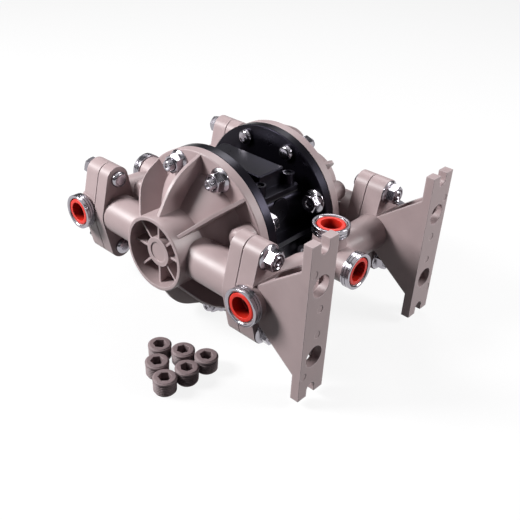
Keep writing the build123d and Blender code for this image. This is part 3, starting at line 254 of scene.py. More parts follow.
@dataclass(frozen=True)
class TurnedMetal:
    """Finish of a metal piece turned about its local Z: rings, a high gloss, and painted shade in hollows.

    The rings lie some millimetres apart, coarser than a lathe leaves them, so that they show.
    """

    name: str
    colour: str
    roughness: float
    ring_mm: float
    rings: float
    ring_height_mm: float = 0.05
    smudge_mm: float = 6.0
    smudge_low: float = 0.7
    smudge_high: float = 1.5
    edge_mm: float = 0.25
    # Reach and colour of the painted shade in hollows
    painted_hollow_shade_mm: float = 2.5
    painted_hollow_shade: str = "1C1A1E"

    def build(self) -> bpy.types.Material:
        """Makes the material.

        Returns:
            The material, with turning rings as bump and smudges in its roughness.
        """
        material = bpy.data.materials.new(self.name)
        material.use_nodes = True
        tree = material.node_tree
        tree.nodes.clear()
        place = add_node(tree, "ShaderNodeTexCoord").outputs["Object"]
        rings = add_node(tree, "ShaderNodeTexWave", {
            "Vector": place, "Scale": per_metre(self.ring_mm) * WAVE_SCALE, "Distortion": 0.15,
            "Detail": 1.0},
            wave_type="RINGS", rings_direction="Z")
        smudge = add_node(tree, "ShaderNodeTexNoise", {
            "Vector": place, "Scale": per_metre(self.smudge_mm), "Detail": 4.0})
        rough = add_node(tree, "ShaderNodeMapRange", {
            "Value": smudge.outputs["Fac"], "From Min": 0.35, "From Max": 0.7,
            "To Min": self.roughness * self.smudge_low, "To Max": self.roughness * self.smudge_high})
        rounded = add_node(tree, "ShaderNodeBevel", {"Radius": self.edge_mm * MM}, samples=6)
        bump = add_node(tree, "ShaderNodeBump", {
            "Strength": self.rings, "Distance": self.ring_height_mm * MM,
            "Height": rings.outputs["Fac"],
            "Normal": rounded.outputs["Normal"]})
        # Painted shade: the colour darkens in hollows
        hollow = add_node(tree, "ShaderNodeAmbientOcclusion", {"Distance": self.painted_hollow_shade_mm * MM},
                          only_local=True, samples=8)
        unshaded = add_node(tree, "ShaderNodeMapRange", {
            "Value": hollow.outputs["AO"], "From Min": 0.45, "From Max": 0.95,
            "To Min": 0.0, "To Max": 1.0})
        colour = add_node(tree, "ShaderNodeMix", {
            MixSocket.FACTOR.value: unshaded.outputs["Result"],
            MixSocket.FIRST.value: linear(self.painted_hollow_shade),
            MixSocket.SECOND.value: linear(self.colour)}, data_type="RGBA")
        shader = add_node(tree, "ShaderNodeBsdfPrincipled", {
            "Base Color": colour.outputs[MixSocket.RESULT.value], "Metallic": 1.0,
            "Roughness": rough.outputs["Result"], "Normal": bump.outputs["Normal"]})
        add_node(tree, "ShaderNodeOutputMaterial", {"Surface": shader.outputs["BSDF"]})
        return material


# Each plastic's second colour is a painted highlight that makes its edges paler
# Polypropylene with a pale mineral filler, moulded in a satin tool: a soft pinkish grey sheen
TAUPE = MouldedPlastic("taupe_moulded_polypropylene", "A89596", "C4B6B8", 0.44, 1.5)
# Glass filled black polypropylene: nearly black, with a bluish grey sheen where it faces the light
BLACK = MouldedPlastic("black_moulded_polypropylene", "050407", "17151B", 0.3, 1.36, tint="C9C2E6",
                       mottle=0.12, grain=0.08, edge_highlight=0.35)
# Low density polyethylene closure caps: waxy, saturated red, painted shade darkens it down in the cup
RED = MouldedPlastic("red_moulded_polyethylene", "DE2A1C", "F25A46", 0.4, 1.48, mottle_mm=8.0,
                     mottle=0.03, edge_mm=0.35, painted_depth_shade_mm=14.0, painted_depth_shade="2A0302")
# Glass filled nylon plugs: dry and rough, a grain drawn coarse enough to show, painted shade in hollows
NYLON = MouldedPlastic("grey_glass_filled_nylon", "827173", "B5A6A9", 0.6, 1.5, mottle_mm=1.3,
                       mottle=0.1, grain_mm=0.8, grain=0.5, edge_mm=0.3, edge_highlight=0.5,
                       painted_depth_shade_mm=5.0, painted_depth_shade="120D0F")
# Skived fluoropolymer: milky white and waxy
PTFE = MouldedPlastic("white_ptfe", "E9E7E1", "F4F2EE", 0.45, 1.38, edge_highlight=0.2)
# Moulded nitrile rubber: dull black
NITRILE = MouldedPlastic("black_nitrile_rubber", "17171A", "2A2A2E", 0.7, 1.52, edge_highlight=0.2)
# Stainless steel, turned and buffed: near mirror, faint rings 5.03 mm apart
POLISHED = TurnedMetal("buffed_stainless_steel", "A5A1A8", 0.18, 1.6 * pi, 0.03)
# Stainless steel bar, ground: grey, with visible rings 3.14 mm apart
TURNED = TurnedMetal("ground_stainless_steel", "B9B8BC", 0.24, pi, 0.12)
# Aluminium, machined and left plain: paler and duller than the steel, with rings 5.03 mm apart
ALUMINIUM = TurnedMetal("machined_aluminium", "C6C7CA", 0.32, 1.6 * pi, 0.15)

FINISHES: dict[Slot, MouldedPlastic | TurnedMetal] = {
    Slot.TAUPE: TAUPE,
    Slot.BLACK: BLACK,
    Slot.POLISHED: POLISHED,
    Slot.TURNED: TURNED,
    Slot.RED: RED,
    Slot.NYLON: NYLON,
    Slot.PTFE: PTFE,
    Slot.NITRILE: NITRILE,
    Slot.ALUMINIUM: ALUMINIUM,
}


@dataclass
class Palette:
    """The finishes, built once and shared by all pieces."""

    made: dict[Slot, bpy.types.Material] = field(default_factory=dict)

    def get(self, slot: Slot) -> bpy.types.Material:
        """Gives a slot's material, and builds it on first use.

        Args:
            slot: The record's material slot.

        Returns:
            The material.
        """
        if slot not in self.made:
            self.made[slot] = FINISHES[slot].build()
        return self.made[slot]


@dataclass
class RingSkin:
    """A skin made of rings about the local Z axis, whose radius may change with the angle."""

    steps: int = 96
    rings: list[tuple[Radius, float]] = field(default_factory=list)

    def add(self, *rings: tuple[Radius, float]) -> None:
        """Adds rings as pairs of a radius, or a function of the angle, and a height."""
        self.rings.extend(rings)

    def rounded(self, corner: tuple[float, float], start: tuple[float, float],
                end: tuple[float, float], count: int = 4) -> None:
        """Adds a rounded corner as a quadratic curve.

        Args:
            corner: The sharp corner, radius and height.
            start: Where the curve leaves the first side.
            end: Where it meets the second side.
            count: The number of rings past the first.
        """
        for i in range(count + 1):
            share = i / count
            weights = ((1 - share) ** 2, 2 * share * (1 - share), share * share)
            self.rings.append((
                weights[0] * start[0] + weights[1] * corner[0] + weights[2] * end[0],
                weights[0] * start[1] + weights[1] * corner[1] + weights[2] * end[1]))

    def build(self, name: str, closed: bool = False, sharp: float = 28.0) -> bpy.types.Mesh:
        """Makes the mesh in metres.

        Args:
            name: The mesh's name.
            closed: Whether the last ring joins the first, as on a piece with a hole.
            sharp: Edges that bend more than this many degrees stay sharp.

        Returns:
            The mesh, smooth but for its sharp edges.
        """
        skin = bmesh.new()
        rows: list[list[bmesh.types.BMVert]] = []
        for radius, height in self.rings:
            if radius == 0:
                rows.append([skin.verts.new((0, 0, height * MM))])
                continue
            row = []
            for step in range(self.steps):
                angle = 2 * pi * step / self.steps
                reach = radius(angle) if callable(radius) else radius
                row.append(skin.verts.new((reach * MM * cos(angle), reach * MM * sin(angle), height * MM)))
            rows.append(row)
        pairs = list(zip(rows, rows[1:]))
        if closed:
            pairs.append((rows[-1], rows[0]))
        for low, high in pairs:
            for step in range(self.steps):
                following = (step + 1) % self.steps
                corners = [low[step % len(low)], low[following % len(low)],
                           high[following % len(high)], high[step % len(high)]]
                unique = list(dict.fromkeys(corners))
                skin.faces.new(unique)
        bmesh.ops.recalc_face_normals(skin, faces=skin.faces)
        mesh = bpy.data.meshes.new(name)
        skin.to_mesh(mesh)
        skin.free()
        mesh.shade_smooth()
        mesh.set_sharp_from_angle(angle=radians(sharp))
        return mesh


def hexagon(flats: float) -> Callable[[float], float]:
    """Gives the radius of a hexagon over its flats as a function of the angle."""
    return lambda angle: flats / 2 / cos((angle + pi / 6) % (pi / 3) - pi / 6)


def crowned_hexagon(flats: float, limit: float) -> Callable[[float], float]:
    """Gives a hexagon's radius where a cone cuts its corners off at the limit radius."""
    outline = hexagon(flats)
    return lambda angle: min(outline(angle), limit)


def helix(radius: float, depth: float, pitch: float, height: float) -> Callable[[float], float]:
    """Gives the radius of a thread at a height: a triangular ridge that climbs one pitch a turn.

    Args:
        radius: The radius over the ridges.
        depth: From the ridges down to the groove.
        pitch: The climb of one turn.
        height: Where along the thread.

    Returns:
        The radius as a function of the angle.
    """
    def reach(angle: float) -> float:
        """Radius at an angle."""
        phase = (height / pitch - angle / (2 * pi)) % 1.0
        return radius - depth * abs(2 * phase - 1)
    return reach


def axis_frame(origin: Vector, axis: Vector, turn: float = 0.0) -> Matrix:
    """Makes the frame of a turned piece.

    Args:
        origin: The frame's origin in metres.
        axis: Where its Z points.
        turn: Its turn about that axis, in degrees.

    Returns:
        The 4x4 matrix of the frame.
    """
    tilt = axis.to_track_quat("Z", "Y").to_matrix().to_4x4()
    return Matrix.Translation(origin) @ tilt @ Matrix.Rotation(radians(turn), 4, "Z")


def seat_piece(name: str, mesh: bpy.types.Mesh, place: Matrix, body: str, node: str, slot: Slot,
               palette: Palette) -> bpy.types.Object:
    """Sets a mesh in place as a piece of the pump.

    Args:
        name: The piece's name.
        mesh: Its mesh, in its local frame.
        place: Its frame.
        body: The body that it moves with.
        node: The CAD node that it stands for.
        slot: Its finish.
        palette: Where the finish comes from.

    Returns:
        The new object.
    """
    piece = bpy.data.objects.new(name, mesh)
    bpy.context.scene.collection.objects.link(piece)
    piece.matrix_world = place
    if not mesh.materials:
        mesh.materials.append(palette.get(slot))
    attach(piece, body)
    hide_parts(node)
    log.info("%s rides %s", name, body)
    return piece


def mount(name: str) -> tuple[Vector, Vector]:
    """Gives the place and the axis of one of the record's mounts."""
    found = next(m for m in frame["record"]["mounts"] if m["name"] == name)
    return Vector(found["pos_m"]), Vector(found["axis"])


@dataclass
class Housings:
    """The moulded housings and the inner pieces: CAD nodes that get their finishes here."""

    slots: dict[str, Slot] = field(default_factory=lambda: {s.value: s for s in Slot})

    def dress(self, palette: Palette) -> int:
        """Gives every CAD node the finish of its own slot.

        Args:
            palette: Where the finishes come from.

        Returns:
            The number of nodes.
        """
        for name, node in frame["nodes"].items():
            for entry in node.material_slots:
                slot = self.slots[entry.material.name.split(".")[0]]
                entry.material = palette.get(slot)
                log.info("%s gets %s", name, slot.value)
        return len(frame["nodes"])


class Head(Enum):
    """Heads of the bolts."""

    HEXAGON = "hexagon"
    ROUND = "round"


@dataclass
class Fasteners:
    """M10 bolts with flanged hexagon heads or low round heads, and flanged nuts."""

    flats: float = 15.0
    flange_radius: float = 10.8
    rim_height: float = 0.9
    rim_round: float = 0.3
    rim_foot: float = 0.4
    rim_run: float = 0.5
    rim_rise: float = 0.35
    slope_radius: float = 8.8
    slope_height: float = 2.2
    hexagon_foot: float = 0.5
    crown_radius: float = 7.0
    crown_slope: float = 30.0
    crown_shares: tuple[float, ...] = (1.0, 0.82, 0.64, 0.48, 0.34, 0.2, 0.08, 0.0)
    nut_height: float = 9.8
    bore_gap: float = 0.06
    bore_chamfer: tuple[float, float] = (0.9, 0.7)
    head_height: float = 9.2
    dish_radius: float = 3.2
    dish_depth: float = 1.0
    dish_slope: float = 0.3
    dish_round: float = 0.8
    round_radius: float = 7.3
    round_height: float = 5.0
    round_foot: float = 1.2
    round_edge: float = 0.3
    round_draft: float = 0.2
    round_crown: float = 3.8
    shank_radius: float = 5.0
    thread_depth: float = 0.45
    thread_pitch: float = 1.5
    thread_length: float = 16.0
    thread_rings: int = 6
    thread_end: float = 0.5
    stud_chamfer: float = 1.0
    stud_chamfer_slope: float = 1.1
    dimple_radius: float = 2.5
    dimple_slope: float = 1.0
    dimple_depth: float = 1.1
    circle_radius: float = 64.6
    flange_seat: float = 32.5
    boss_angles: tuple[float, ...] = (22.5, 157.5, 202.5, 337.5)
    through_angles: tuple[float, ...] = (67.5, 112.5, 247.5, 292.5)
    boss_grip: float = 29.8
    ear_seat: float = 75.5
    ear_spacing: float = 68.6
    tube_offset: float = 79.6
    cap_turn: float = 7.0
    ear_turn: float = 20.0
    ear_turn_step: float = 37.0

    def flange_and_hexagon(self, skin: RingSkin, height: float) -> None:
        """Adds the flange, its slope and the chamfered hexagon, from the seat to the crown.

        Args:
            skin: The skin that they are added to.
            height: The height of the crown over the seat.
        """
        rim, top = self.flange_radius, self.rim_height
        skin.rounded((rim, 0.0), (rim - self.rim_foot, 0.0), (rim, self.rim_round))
        skin.rounded((rim, top), (rim, top - self.rim_round), (rim - self.rim_run, top + self.rim_rise))
        skin.add((self.slope_radius, self.slope_height))
        skin.add((hexagon(self.flats), self.slope_height + self.hexagon_foot))
        widest = self.flats / 2 / cos(pi / 6)
        deepest = (widest - self.crown_radius) * tan(radians(self.crown_slope))
        for share in self.crown_shares:
            limit = self.crown_radius + share * (widest - self.crown_radius)
            skin.add((crowned_hexagon(self.flats, limit), height - share * deepest))

    def nut(self) -> bpy.types.Mesh:
        """Makes a flanged nut, open through its middle, with its seat at height 0.

        Returns:
            The mesh.
        """
        skin = RingSkin()
        bore = self.shank_radius + self.bore_gap
        wide, deep = self.bore_chamfer
        skin.add((bore, 0.0))
        self.flange_and_hexagon(skin, self.nut_height)
        skin.add((bore + wide, self.nut_height), (bore, self.nut_height - deep))
        return skin.build("flanged_nut", closed=True)

    def bolt(self, grip: float, head: Head) -> bpy.types.Mesh:
        """Makes a bolt.

        Args:
            grip: From its seat at height 0 down to the end of its shank.
            head: The shape of its head.

        Returns:
            The mesh, head up, with a thread on the last stretch of the shank.
        """
        skin = RingSkin()
        dimple = -grip + self.dimple_depth
        skin.add((0, dimple), (self.dimple_radius - self.dimple_slope, dimple))
        skin.add((self.dimple_radius, -grip))
        top = self.shank_radius - self.stud_chamfer
        count = round(self.thread_length / self.thread_pitch * self.thread_rings)
        for i in range(count + 1):
            height = -grip + self.thread_length * i / count
            allowed = top + (height + grip) * self.stud_chamfer_slope
            thread = helix(self.shank_radius, self.thread_depth, self.thread_pitch, height)
            skin.add((lambda angle, reach=thread, limit=allowed: min(reach(angle), limit), height))
        skin.add((self.shank_radius, -grip + self.thread_length + self.thread_end),
                 (self.shank_radius, 0.0))
        if head is Head.HEXAGON:
            self.flange_and_hexagon(skin, self.head_height)
            dish = self.head_height - self.dish_depth
            skin.rounded((self.dish_radius, dish), (self.dish_radius + self.dish_slope, self.head_height),
                         (self.dish_radius - self.dish_round, dish))
            skin.add((0, dish))
        else:
            wide, tall = self.round_radius, self.round_height
            edge, draft = self.round_edge, self.round_draft
            skin.rounded((wide, 0.0), (wide - edge, 0.0), (wide, edge), 2)
            skin.add((wide, self.round_foot))
            skin.rounded((wide - draft, tall), (wide, self.round_foot + draft),
                         (wide - self.round_crown, tall), 8)
            skin.add((0, tall))
        return skin.build(f"{head.value}_bolt_{grip:.0f}")

    def build(self, palette: Palette) -> int:
        """Sets all bolts and nuts in place.

        Args:
            palette: Where the finishes come from.

        Returns:
            The number of pieces.
        """
        nut = self.nut()
        centre = sum(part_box("shaft"), Vector()) / 2
        boss_bolt = self.bolt(self.boss_grip, Head.HEXAGON)
        tip = (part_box("cap_bolts_rear")[1].y - centre.y) / MM
        through_bolt = self.bolt(tip - self.flange_seat, Head.ROUND)
        nut_seat = (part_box("cap_nuts_rear")[0].y - centre.y) / MM
        count = 0
        for end, sign in (("front", -1), ("rear", 1)):
            outward = Vector((0, sign, 0))
            bolt, seat = f"cap_bolt_{end}", self.flange_seat
            placed = [(bolt, boss_bolt, angle, seat, -1) for angle in self.boss_angles]
            placed += [(bolt, through_bolt, angle, seat, -1) for angle in self.through_angles]
            placed += [(f"cap_nut_{end}", nut, angle, nut_seat, 1) for angle in self.through_angles]
            for name, mesh, angle, seat, way in placed:
                across = Vector((cos(radians(angle)), 0, sin(radians(angle)))) * self.circle_radius
                origin = centre + (across + outward * seat) * MM
                node = f"cap_nuts_{end}" if mesh is nut else f"cap_bolts_{end}"
                place = axis_frame(origin, outward * way, angle * self.cap_turn)
                seat_piece(f"{name}_{angle:.0f}", mesh, place, "root", node, Slot.POLISHED, palette)
                count += 1
        return count + self.manifold_fasteners(nut, centre, palette)

    def manifold_fasteners(self, nut: bpy.types.Mesh, centre: Vector, palette: Palette) -> int:
        """Sets the bolts and nuts of the oval flanges in place.

        Args:
            nut: The nut's mesh.
            centre: The crossing of the pump's axes.
            palette: Where the finishes come from.

        Returns:
            The number of pieces.
        """
        count = 0
        tip = (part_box("manifold_bolts")[1].x - centre.x) / MM
        nut_seat = (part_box("manifold_nuts")[1].x - centre.x) / MM - self.nut_height
        bolt = self.bolt(tip - self.ear_seat, Head.ROUND)
        for end, sign in (("inlet", 1), ("outlet", -1)):
            outward = Vector((sign, 0, 0))
            for side, y in (("front", -self.tube_offset), ("rear", self.tube_offset)):
                for ear, z in (("upper", self.ear_spacing / 2), ("lower", -self.ear_spacing / 2)):
                    middle = centre + Vector((0, y, z)) * MM
                    turn = self.ear_turn + self.ear_turn_step * count
                    place = axis_frame(middle + outward * self.ear_seat * MM, -outward, turn)
                    seat_piece(f"manifold_bolt_{end}_{side}_{ear}", bolt, place, "root",
                               "manifold_bolts", Slot.POLISHED, palette)
                    place = axis_frame(middle + outward * nut_seat * MM, outward, turn)
                    seat_piece(f"manifold_nut_{end}_{side}_{ear}", nut, place, "root",
                               "manifold_nuts", Slot.POLISHED, palette)
                    count += 2
        return count


@dataclass
class PortFittings:
    """The eight ports: a turned steel ring round each, and a red closure cap pressed into it."""

    ring_radius: float = 16.0
    ring_length: float = 8.0
    lip_radius: float = 13.0
    lip: float = 1.0
    boss_radius: float = 14.6
    lip_chamfer: float = 0.6
    lip_run: float = 1.0
    nib: float = 0.1
    face_round: float = 0.6
    back_round: float = 0.4
    groove: float = 0.4
    groove_half: float = 0.3
    groove_floor_half: float = 0.1
    groove_heights: tuple[float, ...] = (-3.4, -6.0)
    cap_radius: float = 12.1
    cap_rim: float = 2.0
    cap_rim_round: float = 0.9
    cap_rim_edge: float = 0.3
    cap_crown: float = 0.05
    cap_sink: float = 0.8
    cap_body: float = 9.7
    cap_wall: float = 0.9
    cap_length: float = 12.5
    cap_floor: float = 1.5
    cap_floor_round: float = 0.6
    cap_mouth: float = 0.4
    cap_straight: float = 1.0
    cap_foot: float = 0.5
    cap_draft: float = 1.2
    cap_sharp: float = 35.0

    def ring(self) -> bpy.types.Mesh:
        """Makes the steel ring, with its face at height 0.

        Returns:
            The mesh.
        """
        skin = RingSkin(steps=128)
        lip, outer = self.lip_radius, self.ring_radius
        skin.add((lip, -self.lip), (lip, -self.lip_chamfer - self.nib))
        skin.rounded((lip + self.lip_chamfer, 0.0), (lip + self.nib, -self.lip_chamfer),
                     (lip + self.lip_run, 0.0))
        skin.rounded((outer, 0.0), (outer - self.face_round, 0.0), (outer, -self.face_round), 5)
        half, floor = self.groove_half, self.groove_floor_half
        for middle in self.groove_heights:
            skin.add((outer, middle + half), (outer - self.groove, middle + floor),
                     (outer - self.groove, middle - floor), (outer, middle - half))
        skin.rounded((outer, -self.ring_length), (outer, -self.ring_length + self.back_round),
                     (outer - self.back_round, -self.ring_length))
        skin.add((self.boss_radius, -self.ring_length), (self.boss_radius, -self.lip))
        return skin.build("port_ring", closed=True)

    def cap(self) -> bpy.types.Mesh:
        """Makes the closure cap, with the port's face at height 0.

        Returns:
            The mesh.
        """
        skin = RingSkin()
        top = -self.cap_sink
        inner = self.cap_body - self.cap_wall
        narrowing = tan(radians(self.cap_draft))
        deep = self.cap_length - self.cap_floor
        floor_radius = inner - deep * narrowing
        skin.add((0, top - deep), (floor_radius - self.cap_floor_round, top - deep),
                 (floor_radius, top - deep + self.cap_floor_round))
        skin.add((inner - self.cap_straight * narrowing, top - self.cap_straight))
        skin.rounded((inner, top), (inner - self.cap_mouth * narrowing, top - self.cap_mouth),
                     (inner + self.cap_mouth, top - self.cap_crown))
        outer, bend = self.cap_radius, self.cap_rim_round
        skin.rounded((outer, top), (outer - bend, top - self.cap_crown), (outer, top - bend))
        under = top - self.cap_rim
        skin.rounded((outer, under), (outer, under + self.cap_rim_edge), (outer - self.cap_rim_edge, under))
        skin.add((self.cap_body - self.cap_rim * narrowing, under))
        foot, end = self.cap_body - self.cap_length * narrowing, top - self.cap_length
        skin.add((foot, end + self.cap_foot))
        skin.add((foot - self.cap_foot, end))
        skin.add((0, end))
        return skin.build("closure_cap", sharp=self.cap_sharp)

    def build(self, palette: Palette) -> int:
        """Sets a ring and a cap on every port.

        Args:
            palette: Where the finishes come from.

        Returns:
            The number of pieces.
        """
        ring = self.ring()
        cap = self.cap()
        names = [m["name"] for m in frame["record"]["mounts"] if m["name"].startswith(PORT_PREFIX)]
        for name in names:
            port = name.removeprefix(PORT_PREFIX)
            node = f"port_cap_{port}"
            place = axis_frame(*mount(name))
            seat_piece(f"ring_{port}", ring, place, "root", "port_rings", Slot.POLISHED, palette)
            seat_piece(f"cap_{port}", cap, place, node, node, Slot.RED, palette)
        return 2 * len(names)


@dataclass
class PipePlugs:
    """Loose taper plugs: a threaded side, a chamfered top and a hexagon socket."""

    radius: float = 9.9
    height: float = 14.0
    taper: float = 1 / 32
    pitch: float = 1.81
    thread_depth: float = 1.0
    thread_rings: int = 6
    plain_top: float = 2.2
    edge: float = 1.1
    shoulder_round: float = 0.2
    shoulder_step: float = 0.3
    top_drop: float = 0.5
    top_round: float = 0.4
    socket_flats: float = 9.3
    socket_depth: float = 8.0
    socket_cone: float = 1.0
    socket_chamfer: float = 0.3
    socket_widening: float = 0.5
    socket_land: float = 1.6
    sharp: float = 38.0
    turns: tuple[float, ...] = (12, 40, 3, 25, 52, 18)

    def plug(self, turn: float) -> bpy.types.Mesh:
        """Makes a plug that stands on height 0.

        Args:
            turn: How far its socket and thread are turned, in degrees.

        Returns:
            The mesh.
        """
        skin = RingSkin()
        foot = self.radius - self.height * self.taper
        skin.add((0, 0), (foot - self.edge, 0))
        start = self.edge
        end = self.height - self.plain_top
        count = round((end - start) / self.pitch * self.thread_rings)
        for i in range(count + 1):
            height = start + (end - start) * i / count
            skin.add((helix(foot + height * self.taper, self.thread_depth, self.pitch, height), height))
        shoulder = self.height - self.edge
        skin.rounded((self.radius, shoulder), (self.radius - 0.05, end + self.shoulder_round),
                     (self.radius - self.shoulder_step, shoulder + self.shoulder_round))
        rim, top = self.radius - self.edge, self.height
        skin.add((rim + self.shoulder_round, top - self.top_drop - 0.05))
        skin.add((rim, top - self.top_drop))
        skin.rounded((rim - 0.1, top), (rim - 0.1, top - self.top_round), (rim - self.top_drop, top))
        skin.add((self.socket_flats / 2 + self.socket_land, top))
        skin.add((hexagon(self.socket_flats + self.socket_widening), top))
        skin.add((hexagon(self.socket_flats), top - self.socket_chamfer))
        skin.add((hexagon(self.socket_flats), top - self.socket_depth))
        skin.add((0, top - self.socket_depth - self.socket_cone))
        mesh = skin.build("taper_plug", sharp=self.sharp)
        mesh.transform(Matrix.Rotation(radians(turn), 4, "Z"))
        return mesh

    def build(self, palette: Palette) -> int:
        """Stands the plugs where their nodes are.

        Args:
            palette: Where the finishes come from.

        Returns:
            The number of pieces.
        """
        for number, turn in enumerate(self.turns, 1):
            node = f"pipe_plug_{number}"
            low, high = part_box(node)
            place = Matrix.Translation(((low.x + high.x) / 2, (low.y + high.y) / 2, low.z))
            seat_piece(f"taper_plug_{number}", self.plug(turn), place, node, node, Slot.NYLON, palette)
        return len(self.turns)


@dataclass
class Diaphragms:
    """Both diaphragms, in sectors that reach from the moving washers out to the clamped rim.

    The wave is thinner than the solid by the thinning, so that it clears the air cover as it bends.
    """

    axis_x: float = -154.0
    hole: float = 4.3
    washer: float = 30.5
    wave_inside: float = 32.0
    wave_outside: float = 51.9
    bead_inside: float = 54.95
    bead_outside: float = 58.55
    half_thickness: float = 1.5
    wave: float = 3.95
    thinning: float = 1.6
    bead: float = 2.5
    wave_steps: int = 12
    sectors: int = 16
    sector_steps: int = 4
    sharp: float = 30.0

    def section(self) -> list[tuple[float, float]]:
        """Works out the section, from the hole's edge out over the bead and back.

        Returns:
            Pairs of a radius and a height over the middle plane.
        """
        half = self.half_thickness
        middle = (self.wave_inside + self.wave_outside) / 2
        reach = self.wave_outside - middle
        bend = (reach ** 2 + self.wave ** 2) / (2 * self.wave)
        low: list[tuple[float, float]] = []
        high: list[tuple[float, float]] = []
        for step in range(self.wave_steps + 1):
            radius = self.wave_inside + 2 * reach * step / self.wave_steps
            rise = (bend ** 2 - (radius - middle) ** 2) ** 0.5 - (bend - self.wave)
            low.append((radius, rise * (1 + self.thinning / self.wave) - half))
            high.append((radius, rise + half))
        near, far, bead = self.bead_inside, self.bead_outside, self.bead
        rim = [(near, -half), (near, -bead), (far, -bead), (far, bead), (near, bead), (near, half)]
        return [(self.hole, -half), *low, *rim, *reversed(high), (self.hole, half)]

    def sector(self, name: str, side: int, joint: float, number: int) -> bpy.types.Mesh:
        """Makes one sector, where it stands.

        Args:
            name: The mesh's name.
            side: -1 for the front diaphragm, 1 for the rear one.
            joint: The middle plane's distance from the pump's middle.
            number: Which sector.

        Returns:
            The closed mesh, in metres.
        """
        skin = bmesh.new()
        rows: list[list[bmesh.types.BMVert]] = []
        for step in range(self.sector_steps + 1):
            angle = 2 * pi * (number + step / self.sector_steps) / self.sectors
            rows.append([skin.verts.new((
                (self.axis_x + radius * cos(angle)) * MM, side * (joint + height) * MM,
                radius * sin(angle) * MM)) for radius, height in self.section()])
        count = len(rows[0])
        for this, following in zip(rows, rows[1:]):
            for i in range(count):
                after = (i + 1) % count
                skin.faces.new((this[i], this[after], following[after], following[i]))
        skin.faces.new(rows[0])
        skin.faces.new(rows[-1])
        bmesh.ops.recalc_face_normals(skin, faces=skin.faces)
        mesh = bpy.data.meshes.new(name)
        skin.to_mesh(mesh)
        skin.free()
        mesh.shade_smooth()
        mesh.set_sharp_from_angle(angle=radians(self.sharp))
        return mesh

    def build(self, palette: Palette) -> int:
        """Sets the sectors in place.

        Args:
            palette: Where the finishes come from.

        Returns:
            The number of pieces.
        """
        for side, place in ((-1, "front"), (1, "rear")):
            node = f"diaphragm_{place}"
            joint = min(abs(corner.y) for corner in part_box(node)) / MM + self.bead
            for number in range(self.sectors):
                name = f"diaphragm_{place}_sector_{number + 1}"
                piece = bpy.data.objects.new(name, self.sector(name, side, joint, number))
                bpy.context.scene.collection.objects.link(piece)
                piece.data.materials.append(palette.get(Slot.PTFE))
                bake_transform(piece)
                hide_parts(node)
                log.info("%s bends with shaft_assembly", name)
        return 2 * self.sectors


